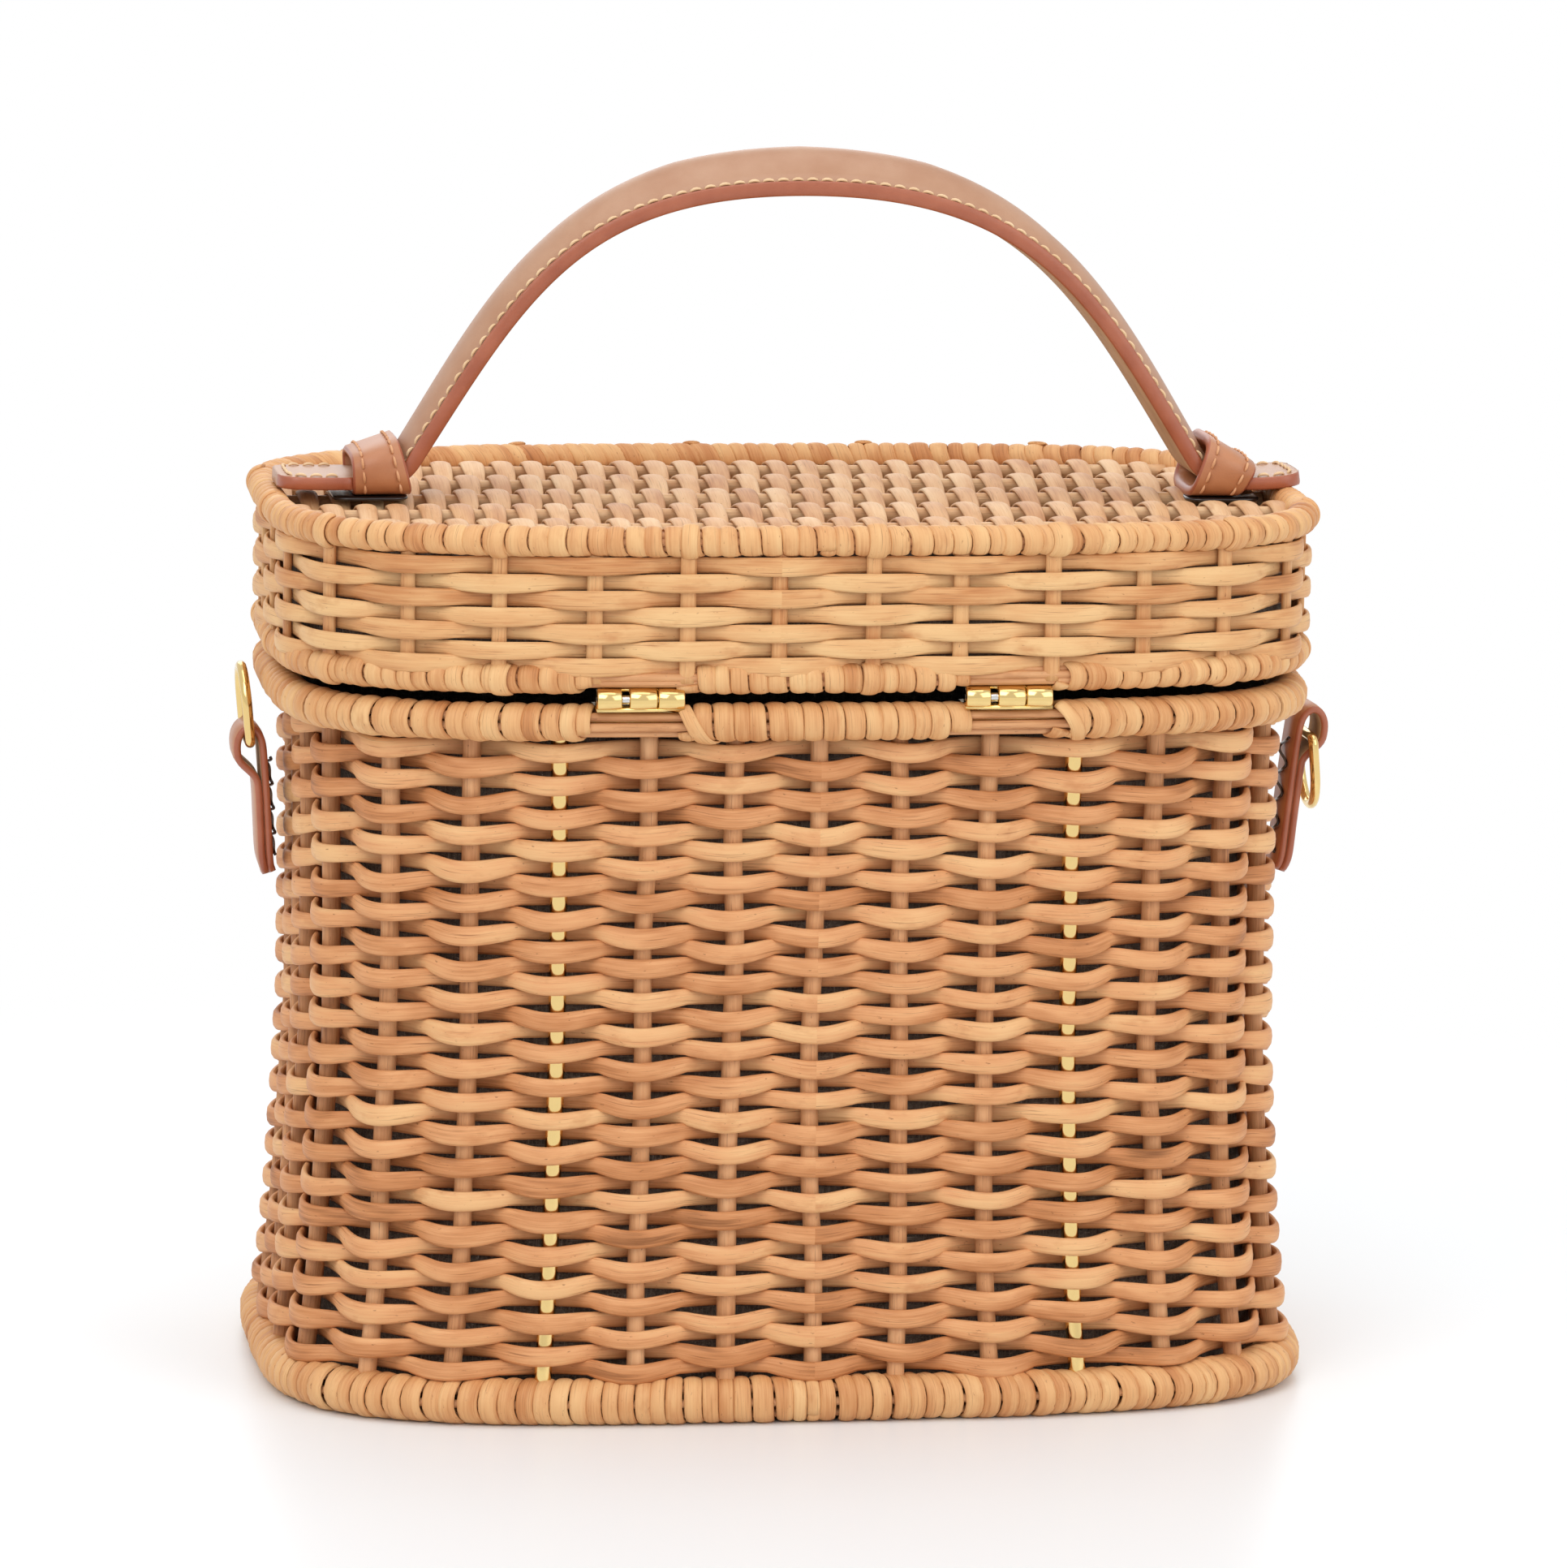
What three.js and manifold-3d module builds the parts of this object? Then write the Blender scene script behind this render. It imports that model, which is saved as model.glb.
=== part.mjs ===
// A wicker picnic basket with a deep hinged lid, a leather strap handle and two D-rings.
// Millimetres, +Z up. The origin is the centre of the footprint on the ground. The closure faces -Y,
// the hinges face +Y, and left and right are as seen from the front, so right is +X.

import * as THREE from "three";
import { mergeVertices } from "three/addons/utils/BufferGeometryUtils.js";
import Module from "manifold-3d";

// Plan: a rounded rectangle |x/a|^n + |y/b|^n = 1. Every ring and wall is set in from it by an offset.
const HALF_WIDTH = 132.5;
const HALF_DEPTH = 82.5;
const CORNER_EXPONENT = 3.85;
const PLAN_STEPS = 40;
const GAP = 0.35;

// Body
const BASE_RIM = { offset: -4.1, z: 5.7, radius: 5.7 };
const BODY_RIM = { offset: -5.5, z: 176, radius: 4.7 };
// The wall's outer face: offset from the plan at heights up the wall, which flares at its foot.
const WALL_FACE = [[11.9, -0.5], [24, -2.1], [43, -3.9], [62, -5], [91, -6.6], [139, -6.8], [170.9, -6.4]];
const WALL_THICKNESS = 7;
const WALL_FOOT_INNER = -12.2;
const BASE_PANEL = { offset: -10.2, bottom: 3, top: 8 };
const LINING_THICKNESS = 1.2;
const LINING_TOP = 177;

// Lid
const SKIRT_RIM = { offset: -4, z: 187.4, radius: 4 };
const LID_RIM = { offset: -3.2, z: 221, radius: 3.7 };
const LID_WALL = { offset: -1.2, bottom: 191.8, top: 216.9, thickness: 5 };
const LID_PANEL = { offset: -7.4, bottom: 217.5, top: 222.8 };
const LID_LINING_TOP = 215.6;

// Wire hoops sit in a slot in the inner side of their rims.
const HOOP_SLOT = { body: 1.7, lid: 1.35 };

// Brass rods that stand in the weave
const ROD_X = 68.8;
const ROD_RADIUS = 2.2;
const ROD_DEPTH = 2.6;
const ROD_BOTTOM = 7.5;
const ROD_TOP = 173.6;

// Hinges
const HINGE_X = 45.7;
const HINGE_AXIS = { y: HALF_DEPTH - 3.5, z: 182 };
const HINGE_WIDTH = 21.6;
const KNUCKLE = { radius: 2.85, bore: 1.45, middle: 7, gap: 0.6 };
const HINGE_PIN_RADIUS = 1.1;
const LEAF_THICKNESS = 1;
const LEAF_SETBACK = 1.4;
const HINGE_CUT = 3.2;

// Handle: one strap that runs through two keepers and ends in a flat head at each end.
const HANDLE_CENTRE_X = -4;
const STRAP_SLIP = 2;
const STRAP_WIDTH = 23;
const STRAP_HEIGHT = 9.6;
const STRAP_EDGE = 3.7;
const CROWN_Z = 307.2;
const ARCH_END = { x: 92.5, z: 244 };
const ARCH_END_SLOPE = THREE.MathUtils.degToRad(57.8);
const ARCH_CROWN_PULL = 50.5;
const ARCH_END_PULL = 44.1;
const STRAP_HALF_LENGTH = 133;
const HEAD = { width: 26, bottom: 225.2, corner: 6 };
const KEEPER_X = 109;
const KEEPER = { length: 14, width: 27, thickness: 1.7, bottom: 224.6, innerHeight: 13, outerHeight: 7.6 };
const PAD = { length: 24, width: 25, bottom: 223.1, top: 224.3 };
const KEEPER_PLATE = { length: 26, width: 30, bottom: 216, top: 217.1 };
const RIVET_RADIUS = 1.5;

// Side tabs and D-rings
const TAB_WIDTH = 15;
const TAB_THICKNESS = 2.1;
// Each tab: foot out from the middle, lean in degrees, height, top level and the ring bar's place on it.
const SIDE_TABS = {
  left: { footX: 129.8, lean: 6.3, height: 44.3, top: 168, bar: 36.2 },
  right: { footX: 128.4, lean: 3.4, height: 39.1, top: 165.1, bar: 34.6 },
};
const TAB_POCKET = { out: 4.4, below: 6.2, halfWidth: 2.3, halfHeight: 4.1 };
const RING_WIRE = 1.3;
const RING_HALF_WIDTH = 9.3;
const RING_HEIGHT = 18.5;
const RING_LEAN = { left: 4.8, right: 5.3 };

// Front closure
const CLOSURE_WIDTH = 24;
const CLOSURE_TAB = { inner: 83, outer: 86.2, top: 198.4, bottom: 147 };
const CLOSURE_ANCHOR = { inner: 81.75, outer: 83.7, bottom: 199, top: 214 };
const SNAP_Z = 160;
const SNAP_RADIUS = 7;

const wasm = await Module();
wasm.setup();

const leather = { color: 0xbd8568, roughness: 0.5, metalness: 0 };
const leatherEdge = { color: 0xad6549, roughness: 0.6, metalness: 0 };
const backing = { color: 0x1b1816, roughness: 0.5, metalness: 0 };
const rattan = { color: 0xd49564, roughness: 0.65, metalness: 0 };
const cane = { color: 0xdda974, roughness: 0.6, metalness: 0 };
const brass = { color: 0xd9b36a, roughness: 0.25, metalness: 1 };
const steel = { color: 0xb8b8b8, roughness: 0.35, metalness: 1 };
const cloth = { color: 0x8f8d88, roughness: 0.9, metalness: 0 };

const basket = new THREE.Group();

function addPart(name, geometry, finish) {
  const mesh = new THREE.Mesh(geometry, new THREE.MeshStandardMaterial(finish));
  mesh.name = name;
  basket.add(mesh);
}

// Solids and geometry

function solidOf(geometry) {
  const bare = geometry.clone();
  bare.deleteAttribute("normal");
  bare.deleteAttribute("uv");
  const merged = mergeVertices(bare, 1e-4);
  const mesh = new wasm.Mesh({
    numProp: 3,
    vertProperties: merged.attributes.position.array,
    triVerts: new Uint32Array(merged.index.array),
  });
  return new wasm.Manifold(mesh);
}

function geometryOf(solid) {
  const mesh = solid.getMesh();
  const geometry = new THREE.BufferGeometry();
  geometry.setAttribute("position", new THREE.BufferAttribute(mesh.vertProperties, 3));
  geometry.setIndex(new THREE.BufferAttribute(mesh.triVerts, 1));
  geometry.computeVertexNormals();
  return geometry;
}

function cut(geometry, ...tools) {
  return geometryOf(tools.reduce((solid, tool) => solid.subtract(solidOf(tool)), solidOf(geometry)));
}

function join(geometry, ...others) {
  return geometryOf(others.reduce((solid, other) => solid.add(solidOf(other)), solidOf(geometry)));
}

function mirrorX(geometry) {
  const mirrored = geometryOf(solidOf(geometry));
  mirrored.scale(-1, 1, 1);
  const index = mirrored.index.array;
  for (let i = 0; i < index.length; i += 3) {
    [index[i + 1], index[i + 2]] = [index[i + 2], index[i + 1]];
  }
  return mirrored;
}

function box(x0, x1, y0, y1, z0, z1) {
  const geometry = new THREE.BoxGeometry(x1 - x0, y1 - y0, z1 - z0);
  return geometry.translate((x0 + x1) / 2, (y0 + y1) / 2, (z0 + z1) / 2);
}

function rodAlongX(radius, x0, x1, y, z, sides = 12) {
  const geometry = new THREE.CylinderGeometry(radius, radius, x1 - x0, sides);
  return geometry.rotateZ(Math.PI / 2).translate((x0 + x1) / 2, y, z);
}

function rodAlongZ(radius, x, y, z0, z1, sides = 12) {
  const geometry = new THREE.CylinderGeometry(radius, radius, z1 - z0, sides);
  return geometry.rotateX(Math.PI / 2).translate(x, y, (z0 + z1) / 2);
}

// An outline in the XZ plane, extruded between y0 and y1. Its points are [x, z].
function extrudeAlongY(points, y0, y1) {
  const shape = new THREE.Shape(points.map(([x, z]) => new THREE.Vector2(x, z)));
  const geometry = new THREE.ExtrudeGeometry(shape, { depth: y1 - y0, bevelEnabled: false });
  return geometry.rotateX(Math.PI / 2).translate(0, y1, 0);
}

function sweep(section, curve, steps) {
  return new THREE.ExtrudeGeometry(section, { steps, extrudePath: curve, bevelEnabled: false });
}

function roundSection(radius, sides) {
  const corner = (_, i) => {
    const angle = ((i + 0.5) * 2 * Math.PI) / sides;
    return new THREE.Vector2(radius * Math.cos(angle), radius * Math.sin(angle));
  };
  return new THREE.Shape(Array.from({ length: sides }, corner));
}

// The plan outline

function planPoint(angle, offset) {
  const power = 2 / CORNER_EXPONENT;
  const c = Math.cos(angle);
  const s = Math.sin(angle);
  const x = (HALF_WIDTH + offset) * Math.sign(c) * Math.abs(c) ** power;
  const y = (HALF_DEPTH + offset) * Math.sign(s) * Math.abs(s) ** power;
  return new THREE.Vector2(x, y);
}

function backY(x, offset) {
  const ratio = Math.abs(x) / (HALF_WIDTH + offset);
  return (HALF_DEPTH + offset) * (1 - ratio ** CORNER_EXPONENT) ** (1 / CORNER_EXPONENT);
}

// A closed profile of [offset, z] points, turned on a lathe and then bent onto the plan outline.
function ring(profile) {
  const middle = 100;
  const points = [...profile, profile[0]].map(([offset, z]) => new THREE.Vector2(middle + offset, z));
  const geometry = new THREE.LatheGeometry(points, PLAN_STEPS);
  geometry.rotateX(Math.PI / 2);
  const position = geometry.attributes.position;
  for (let i = 0; i < position.count; i += 1) {
    const x = position.getX(i);
    const y = position.getY(i);
    const step = (2 * Math.PI) / PLAN_STEPS;
    const angle = Math.round(Math.atan2(y, x) / step) * step;
    const bent = planPoint(angle, Math.hypot(x, y) - middle);
    position.setXY(i, bent.x, bent.y);
  }
  return geometry;
}

function plate(offset, bottom, top) {
  const corner = (_, i) => planPoint((i * 2 * Math.PI) / PLAN_STEPS, offset);
  const shape = new THREE.Shape(Array.from({ length: PLAN_STEPS }, corner));
  const geometry = new THREE.ExtrudeGeometry(shape, { depth: top - bottom, bevelEnabled: false });
  return geometry.translate(0, 0, bottom);
}

// Offset of the body wall's outer surface: straight at top and bottom and drawn in at the waist.
function wallOffset(z) {
  const above = WALL_FACE.findIndex(([height]) => height >= z);
  if (above === 0) return WALL_FACE[0][1];
  if (above < 0) return WALL_FACE[WALL_FACE.length - 1][1];
  const [z0, low] = WALL_FACE[above - 1];
  const [z1, high] = WALL_FACE[above];
  return THREE.MathUtils.mapLinear(z, z0, z1, low, high);
}

// The wall's inner face, which the lining follows.
function wallInnerOffset(z) {
  return Math.min(wallOffset(z) - WALL_THICKNESS, WALL_FOOT_INNER);
}

// Rims

function tubeProfile({ offset, z, radius }, sides) {
  const reach = radius / Math.cos(Math.PI / sides);
  return Array.from({ length: sides }, (_, i) => {
    const angle = ((i + 0.5) * 2 * Math.PI) / sides;
    return [offset + reach * Math.cos(angle), z + reach * Math.sin(angle)];
  });
}

// A bound rim: round outside, with a slot from its inner side to its centre for the wire hoop.
function slottedProfile({ offset, z, radius }, halfSlot) {
  const steps = 9;
  const first = Math.PI + Math.asin(halfSlot / radius);
  const span = 2 * Math.PI - 2 * Math.asin(halfSlot / radius);
  const outside = Array.from({ length: steps + 1 }, (_, i) => {
    const angle = first + (span * i) / steps;
    return [offset + radius * Math.cos(angle), z + radius * Math.sin(angle)];
  });
  return [...outside, [offset + halfSlot, z + halfSlot], [offset + halfSlot, z - halfSlot]];
}

function hoop({ offset, z }, halfSlot) {
  return ring(tubeProfile({ offset, z, radius: halfSlot - GAP }, 6));
}

function hingeCuts() {
  const half = HINGE_WIDTH / 2 + GAP * 2;
  const { y, z } = HINGE_AXIS;
  return [-HINGE_X, HINGE_X].map((x) => {
    return box(x - half, x + half, y - 15, y + 15, z - HINGE_CUT, z + HINGE_CUT);
  });
}

// Body

function rodCurve(side, front, extra = 0) {
  const heights = [ROD_BOTTOM - extra, 30, 60, 91, 122, 150, ROD_TOP + extra];
  const x = side * ROD_X;
  const point = (z) => new THREE.Vector3(x, front * backY(x, wallOffset(z) - ROD_DEPTH), z);
  return new THREE.CatmullRomCurve3(heights.map(point));
}

// The room that a rod needs: its own channel, open to the outside of the wall.
function rodChannels() {
  const section = roundSection(ROD_RADIUS + GAP, 6);
  const channels = [];
  for (const side of [-1, 1]) {
    for (const front of [-1, 1]) {
      const channel = sweep(section, rodCurve(side, front, GAP), 6);
      channels.push(channel, channel.clone().translate(0, front * ROD_DEPTH, 0));
    }
  }
  return channels;
}

function buildBody() {
  const channels = rodChannels();
  const sockets = channels.filter((_, i) => i % 2 === 0);
  addPart("base_panel", plate(BASE_PANEL.offset, BASE_PANEL.bottom, BASE_PANEL.top), rattan);
  addPart("base_rim", cut(ring(tubeProfile(BASE_RIM, 8)), ...sockets), cane);

  const levels = WALL_FACE.map(([z]) => z);
  const outer = levels.map((z) => [wallOffset(z), z]);
  const inner = levels.map((z) => [wallInnerOffset(z), z]).reverse();
  addPart("side_wall", cut(ring([...outer, ...inner]), ...channels), rattan);

  const bodyRim = ring(slottedProfile(BODY_RIM, HOOP_SLOT.body));
  addPart("body_rim", cut(bodyRim, ...sockets, ...hingeCuts()), cane);
  addPart("body_hoop", hoop(BODY_RIM, HOOP_SLOT.body), brass);

  const skinOuter = [BASE_PANEL.top + GAP, ...levels, LINING_TOP].map((z) => {
    return [wallInnerOffset(z) - GAP, z];
  });
  const skinInner = skinOuter.map(([offset, z]) => [offset - LINING_THICKNESS, z]).reverse();
  const skin = ring([...skinOuter, ...skinInner]);
  const floorTop = BASE_PANEL.top + GAP + LINING_THICKNESS;
  const floor = plate(skinOuter[0][0] - 0.4, BASE_PANEL.top + GAP, floorTop);
  addPart("body_lining", join(skin, floor), cloth);

  for (const [sideName, side] of [["left", -1], ["right", 1]]) {
    for (const [frontName, front] of [["front", -1], ["back", 1]]) {
      const rod = sweep(roundSection(ROD_RADIUS, 6), rodCurve(side, front), 6);
      addPart(`frame_rod_${frontName}_${sideName}`, rod, brass);
    }
  }
}

// Hinges

function knuckle(x0, x1) {
  const { y, z } = HINGE_AXIS;
  const tube = rodAlongX(KNUCKLE.radius, x0, x1, y, z);
  return cut(tube, rodAlongX(KNUCKLE.bore, x0 - 1, x1 + 1, y, z));
}

// A leaf lies flat on the bare core of its rim and turns down, or up, behind it.
function leafPlate(x, upDown) {
  const { y, z } = HINGE_AXIS;
  const half = HINGE_WIDTH / 2;
  const outerFace = z + upDown * KNUCKLE.radius;
  const innerFace = outerFace - upDown * LEAF_THICKNESS;
  const rim = upDown > 0 ? SKIRT_RIM : BODY_RIM;
  const flangeY = HALF_DEPTH + rim.offset - rim.radius - LEAF_SETBACK;
  const flangeEnd = upDown > 0 ? SKIRT_RIM.z + 2.6 : BODY_RIM.z - 2;
  const [low, high] = [outerFace, innerFace].sort((a, b) => a - b);
  const [flangeLow, flangeHigh] = [flangeEnd, innerFace].sort((a, b) => a - b);
  const flat = box(x - half, x + half, flangeY - LEAF_THICKNESS, y - KNUCKLE.radius - GAP, low, high);
  const flange = box(x - half, x + half, flangeY - LEAF_THICKNESS, flangeY, flangeLow, flangeHigh);
  return join(flat, flange);
}

// Joins a knuckle to its leaf, tangent to the barrel.
function leafNeck(x0, x1, upDown) {
  const { y, z } = HINGE_AXIS;
  const outerFace = z + upDown * KNUCKLE.radius * 0.985;
  const innerFace = outerFace - upDown * (LEAF_THICKNESS - 0.2);
  const [low, high] = [outerFace, innerFace].sort((a, b) => a - b);
  return box(x0, x1, y - KNUCKLE.radius - 1, y - 0.6, low, high);
}

function buildHinge(name, x) {
  const half = HINGE_WIDTH / 2;
  const middle = KNUCKLE.middle / 2;
  const inner = middle + KNUCKLE.gap;
  const outerKnuckles = [
    [x - half, x - inner],
    [x + inner, x + half],
  ];
  const bodyPieces = outerKnuckles.flatMap(([x0, x1]) => [knuckle(x0, x1), leafNeck(x0, x1, -1)]);
  addPart(`hinge_body_leaf_${name}`, join(leafPlate(x, -1), ...bodyPieces), brass);
  const lidPieces = [knuckle(x - middle, x + middle), leafNeck(x - middle, x + middle, 1)];
  addPart(`hinge_lid_leaf_${name}`, join(leafPlate(x, 1), ...lidPieces), brass);
  const { y, z } = HINGE_AXIS;
  addPart(`hinge_pin_${name}`, rodAlongX(HINGE_PIN_RADIUS, x - half, x + half, y, z), brass);
}

// Lid

function buildLid() {
  addPart("lid_skirt_rim", cut(ring(slottedProfile(SKIRT_RIM, HOOP_SLOT.lid)), ...hingeCuts()), cane);
  addPart("lid_skirt_hoop", hoop(SKIRT_RIM, HOOP_SLOT.lid), brass);
  const { offset, bottom, top, thickness } = LID_WALL;
  const wall = ring([
    [offset, bottom],
    [offset, top],
    [offset - thickness, top],
    [offset - thickness, bottom],
  ]);
  addPart("lid_wall", cut(wall, closureRivetHole()), rattan);
  addPart("lid_top_rim", ring(slottedProfile(LID_RIM, HOOP_SLOT.lid)), cane);
  addPart("lid_top_hoop", hoop(LID_RIM, HOOP_SLOT.lid), brass);
  const rivetHoles = keeperRivetHoles();
  const topPlate = plate(LID_PANEL.offset, LID_PANEL.bottom, LID_PANEL.top);
  addPart("lid_top_panel", cut(topPlate, ...rivetHoles), rattan);

  const skinOuter = offset - thickness - GAP;
  const skin = ring([
    [skinOuter, bottom],
    [skinOuter, LID_LINING_TOP],
    [skinOuter - LINING_THICKNESS, LID_LINING_TOP],
    [skinOuter - LINING_THICKNESS, bottom],
  ]);
  const ceiling = plate(skinOuter - 0.4, LID_LINING_TOP - LINING_THICKNESS, LID_LINING_TOP);
  addPart("lid_lining", join(skin, ceiling), cloth);
}

// Handle

function bothSides(make) {
  for (const [name, side] of [["left", -1], ["right", 1]]) {
    make(name, (geometry) => {
      const placed = side < 0 ? mirrorX(geometry) : geometry;
      return placed.translate(HANDLE_CENTRE_X, 0, 0);
    }, side);
  }
}

function keeperRivetHoles() {
  const hole = (side) => {
    const x = HANDLE_CENTRE_X + side * KEEPER_X;
    return rodAlongZ(RIVET_RADIUS + GAP, x, 0, KEEPER_PLATE.bottom - 1, KEEPER.bottom + 3);
  };
  return [hole(-1), hole(1)];
}

// The keeper is a wedge-shaped loop: low where the flat end leaves it and high where the strap rises.
function keeperSide(inset, overrun) {
  const inner = KEEPER_X - KEEPER.length / 2;
  const outer = KEEPER_X + KEEPER.length / 2;
  const innerTop = new THREE.Vector2(inner + 3, KEEPER.bottom + KEEPER.innerHeight - inset);
  const outerTop = new THREE.Vector2(outer - 1, KEEPER.bottom + KEEPER.outerHeight - inset);
  const slope = (outerTop.y - innerTop.y) / (outerTop.x - innerTop.x);
  const bottom = KEEPER.bottom + inset;
  if (!overrun) {
    return [[inner, bottom], [outer, bottom], [outerTop.x, outerTop.y], [innerTop.x, innerTop.y]];
  }
  const topAt = (x) => innerTop.y + slope * (x - innerTop.x);
  const [x0, x1] = [inner - overrun, outer + overrun];
  return [[x0, bottom], [x1, bottom], [x1, topAt(x1)], [x0, topAt(x0)]];
}

function keeper() {
  const half = KEEPER.width / 2;
  const solid = extrudeAlongY(keeperSide(0, 0), -half, half);
  const passageHalf = half - KEEPER.thickness;
  const passage = extrudeAlongY(keeperSide(KEEPER.thickness, 2), -passageHalf, passageHalf);
  const hole = rodAlongZ(RIVET_RADIUS + GAP, KEEPER_X, 0, KEEPER.bottom - 1, KEEPER.bottom + 3);
  return cut(solid, passage, hole);
}

// The half of the strap's centre line from the crown to the end of the arch, as a Bezier curve.
function archHalf(side) {
  const pull = new THREE.Vector2(-Math.cos(ARCH_END_SLOPE), Math.sin(ARCH_END_SLOPE));
  pull.multiplyScalar(ARCH_END_PULL);
  const points = [
    new THREE.Vector3(0, 0, CROWN_Z),
    new THREE.Vector3(side * ARCH_CROWN_PULL, 0, CROWN_Z),
    new THREE.Vector3(side * (ARCH_END.x + pull.x), 0, ARCH_END.z + pull.y),
    new THREE.Vector3(side * ARCH_END.x, 0, ARCH_END.z),
  ];
  return points;
}

// From +X to -X, so that the section's second coordinate points up.
function archCurve() {
  const straight = 12;
  const path = new THREE.CurvePath();
  const run = new THREE.Vector3(Math.cos(ARCH_END_SLOPE), 0, -Math.sin(ARCH_END_SLOPE));
  const right = archHalf(1);
  const left = archHalf(-1);
  const rightFoot = right[3].clone().addScaledVector(run, straight);
  const leftFoot = left[3].clone().addScaledVector(run.clone().setX(-run.x), straight);
  path.add(new THREE.LineCurve3(rightFoot, right[3]));
  path.add(new THREE.CubicBezierCurve3(right[3], right[2], right[1], right[0]));
  path.add(new THREE.CubicBezierCurve3(...left));
  path.add(new THREE.LineCurve3(left[3], leftFoot));
  return path;
}

// A flat back, square painted edges and a domed front.
function strapSection(width, height) {
  const half = width / 2;
  const low = -height / 2;
  const steps = 6;
  const dome = height - STRAP_EDGE;
  const points = [new THREE.Vector2(-half, low), new THREE.Vector2(half, low)];
  for (let i = 0; i <= steps; i += 1) {
    const angle = (Math.PI * i) / steps;
    points.push(new THREE.Vector2(half * Math.cos(angle), low + STRAP_EDGE + dome * Math.sin(angle)));
  }
  return new THREE.Shape(points);
}

function handleArch() {
  const strap = sweep(strapSection(STRAP_WIDTH, STRAP_HEIGHT), archCurve(), 26);
  const far = ARCH_END.x + 60;
  const trims = [-1, 1].map((side) => {
    const [x0, x1] = [side * ARCH_END.x, side * far].sort((a, b) => a - b);
    return box(x0, x1, -40, 40, 200, 340);
  });
  return cut(strap, ...trims).translate(HANDLE_CENTRE_X, 0, 0);
}

// The end of the strap: its foot below the arch, its neck through the keeper, and the flat head.
function strapEnd(slip) {
  const rise = Math.tan(ARCH_END_SLOPE);
  const halfRise = STRAP_HEIGHT / 2 / Math.cos(ARCH_END_SLOPE);
  const start = ARCH_END.x + GAP;
  const outer = KEEPER_X + KEEPER.length / 2 + 0.5;
  const low = KEEPER.bottom + KEEPER.thickness + GAP;
  const lowStart = ARCH_END.z - halfRise;
  const highStart = ARCH_END.z + halfRise;
  const passage = keeperSide(KEEPER.thickness, 2);
  const slope = (passage[2][1] - passage[3][1]) / (passage[2][0] - passage[3][0]);
  const ceiling = (x) => passage[3][1] + slope * (x - passage[3][0]) - GAP * 1.3;
  const knee = (highStart + rise * start - ceiling(0)) / (rise + slope);
  const side = [
    [start, highStart],
    [start, lowStart],
    [start + (lowStart - low) / rise, low],
    [outer, low],
    [outer, ceiling(outer)],
    [knee, ceiling(knee)],
  ];
  const neckHalf = KEEPER.width / 2 - KEEPER.thickness - GAP;
  const neck = extrudeAlongY(side, -neckHalf, neckHalf);
  return join(neck, strapHead(KEEPER_X + KEEPER.length / 2 + GAP, STRAP_HALF_LENGTH + slip));
}

function strapHead(x0, x1) {
  const half = HEAD.width / 2;
  const r = HEAD.corner;
  const small = 2;
  const shape = new THREE.Shape();
  shape.moveTo(x0 + small, -half);
  shape.lineTo(x1 - r, -half);
  shape.quadraticCurveTo(x1, -half, x1, -half + r);
  shape.lineTo(x1, half - r);
  shape.quadraticCurveTo(x1, half, x1 - r, half);
  shape.lineTo(x0 + small, half);
  shape.quadraticCurveTo(x0, half, x0, half - small);
  shape.lineTo(x0, -half + small);
  shape.quadraticCurveTo(x0, -half, x0 + small, -half);
  const options = { depth: STRAP_EDGE, bevelEnabled: false, curveSegments: 3 };
  return new THREE.ExtrudeGeometry(shape, options).translate(0, 0, HEAD.bottom);
}

function buildHandle() {
  addPart("handle_strap", handleArch(), leather);
  bothSides((name, place, side) => {
    addPart(`handle_end_${name}`, place(strapEnd(side * STRAP_SLIP)), leatherEdge);
    addPart(`handle_keeper_${name}`, place(keeper()), leather);
    const pad = box(
      KEEPER_X - PAD.length / 2,
      KEEPER_X + PAD.length / 2,
      -PAD.width / 2,
      PAD.width / 2,
      PAD.bottom,
      PAD.top,
    );
    const hole = rodAlongZ(RIVET_RADIUS + GAP, KEEPER_X, 0, KEEPER_PLATE.bottom - 1, KEEPER.bottom + 3);
    addPart(`keeper_pad_${name}`, place(cut(pad, hole)), backing);
    const under = box(
      KEEPER_X - KEEPER_PLATE.length / 2,
      KEEPER_X + KEEPER_PLATE.length / 2 - 6,
      -KEEPER_PLATE.width / 2,
      KEEPER_PLATE.width / 2,
      KEEPER_PLATE.bottom,
      KEEPER_PLATE.top,
    );
    addPart(`keeper_plate_${name}`, place(cut(under, hole)), steel);
    const rivetTop = KEEPER.bottom + KEEPER.thickness;
    const rivet = rodAlongZ(RIVET_RADIUS, KEEPER_X, 0, KEEPER_PLATE.bottom, rivetTop);
    addPart(`keeper_rivet_${name}`, place(rivet), brass);
  });
}

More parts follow.
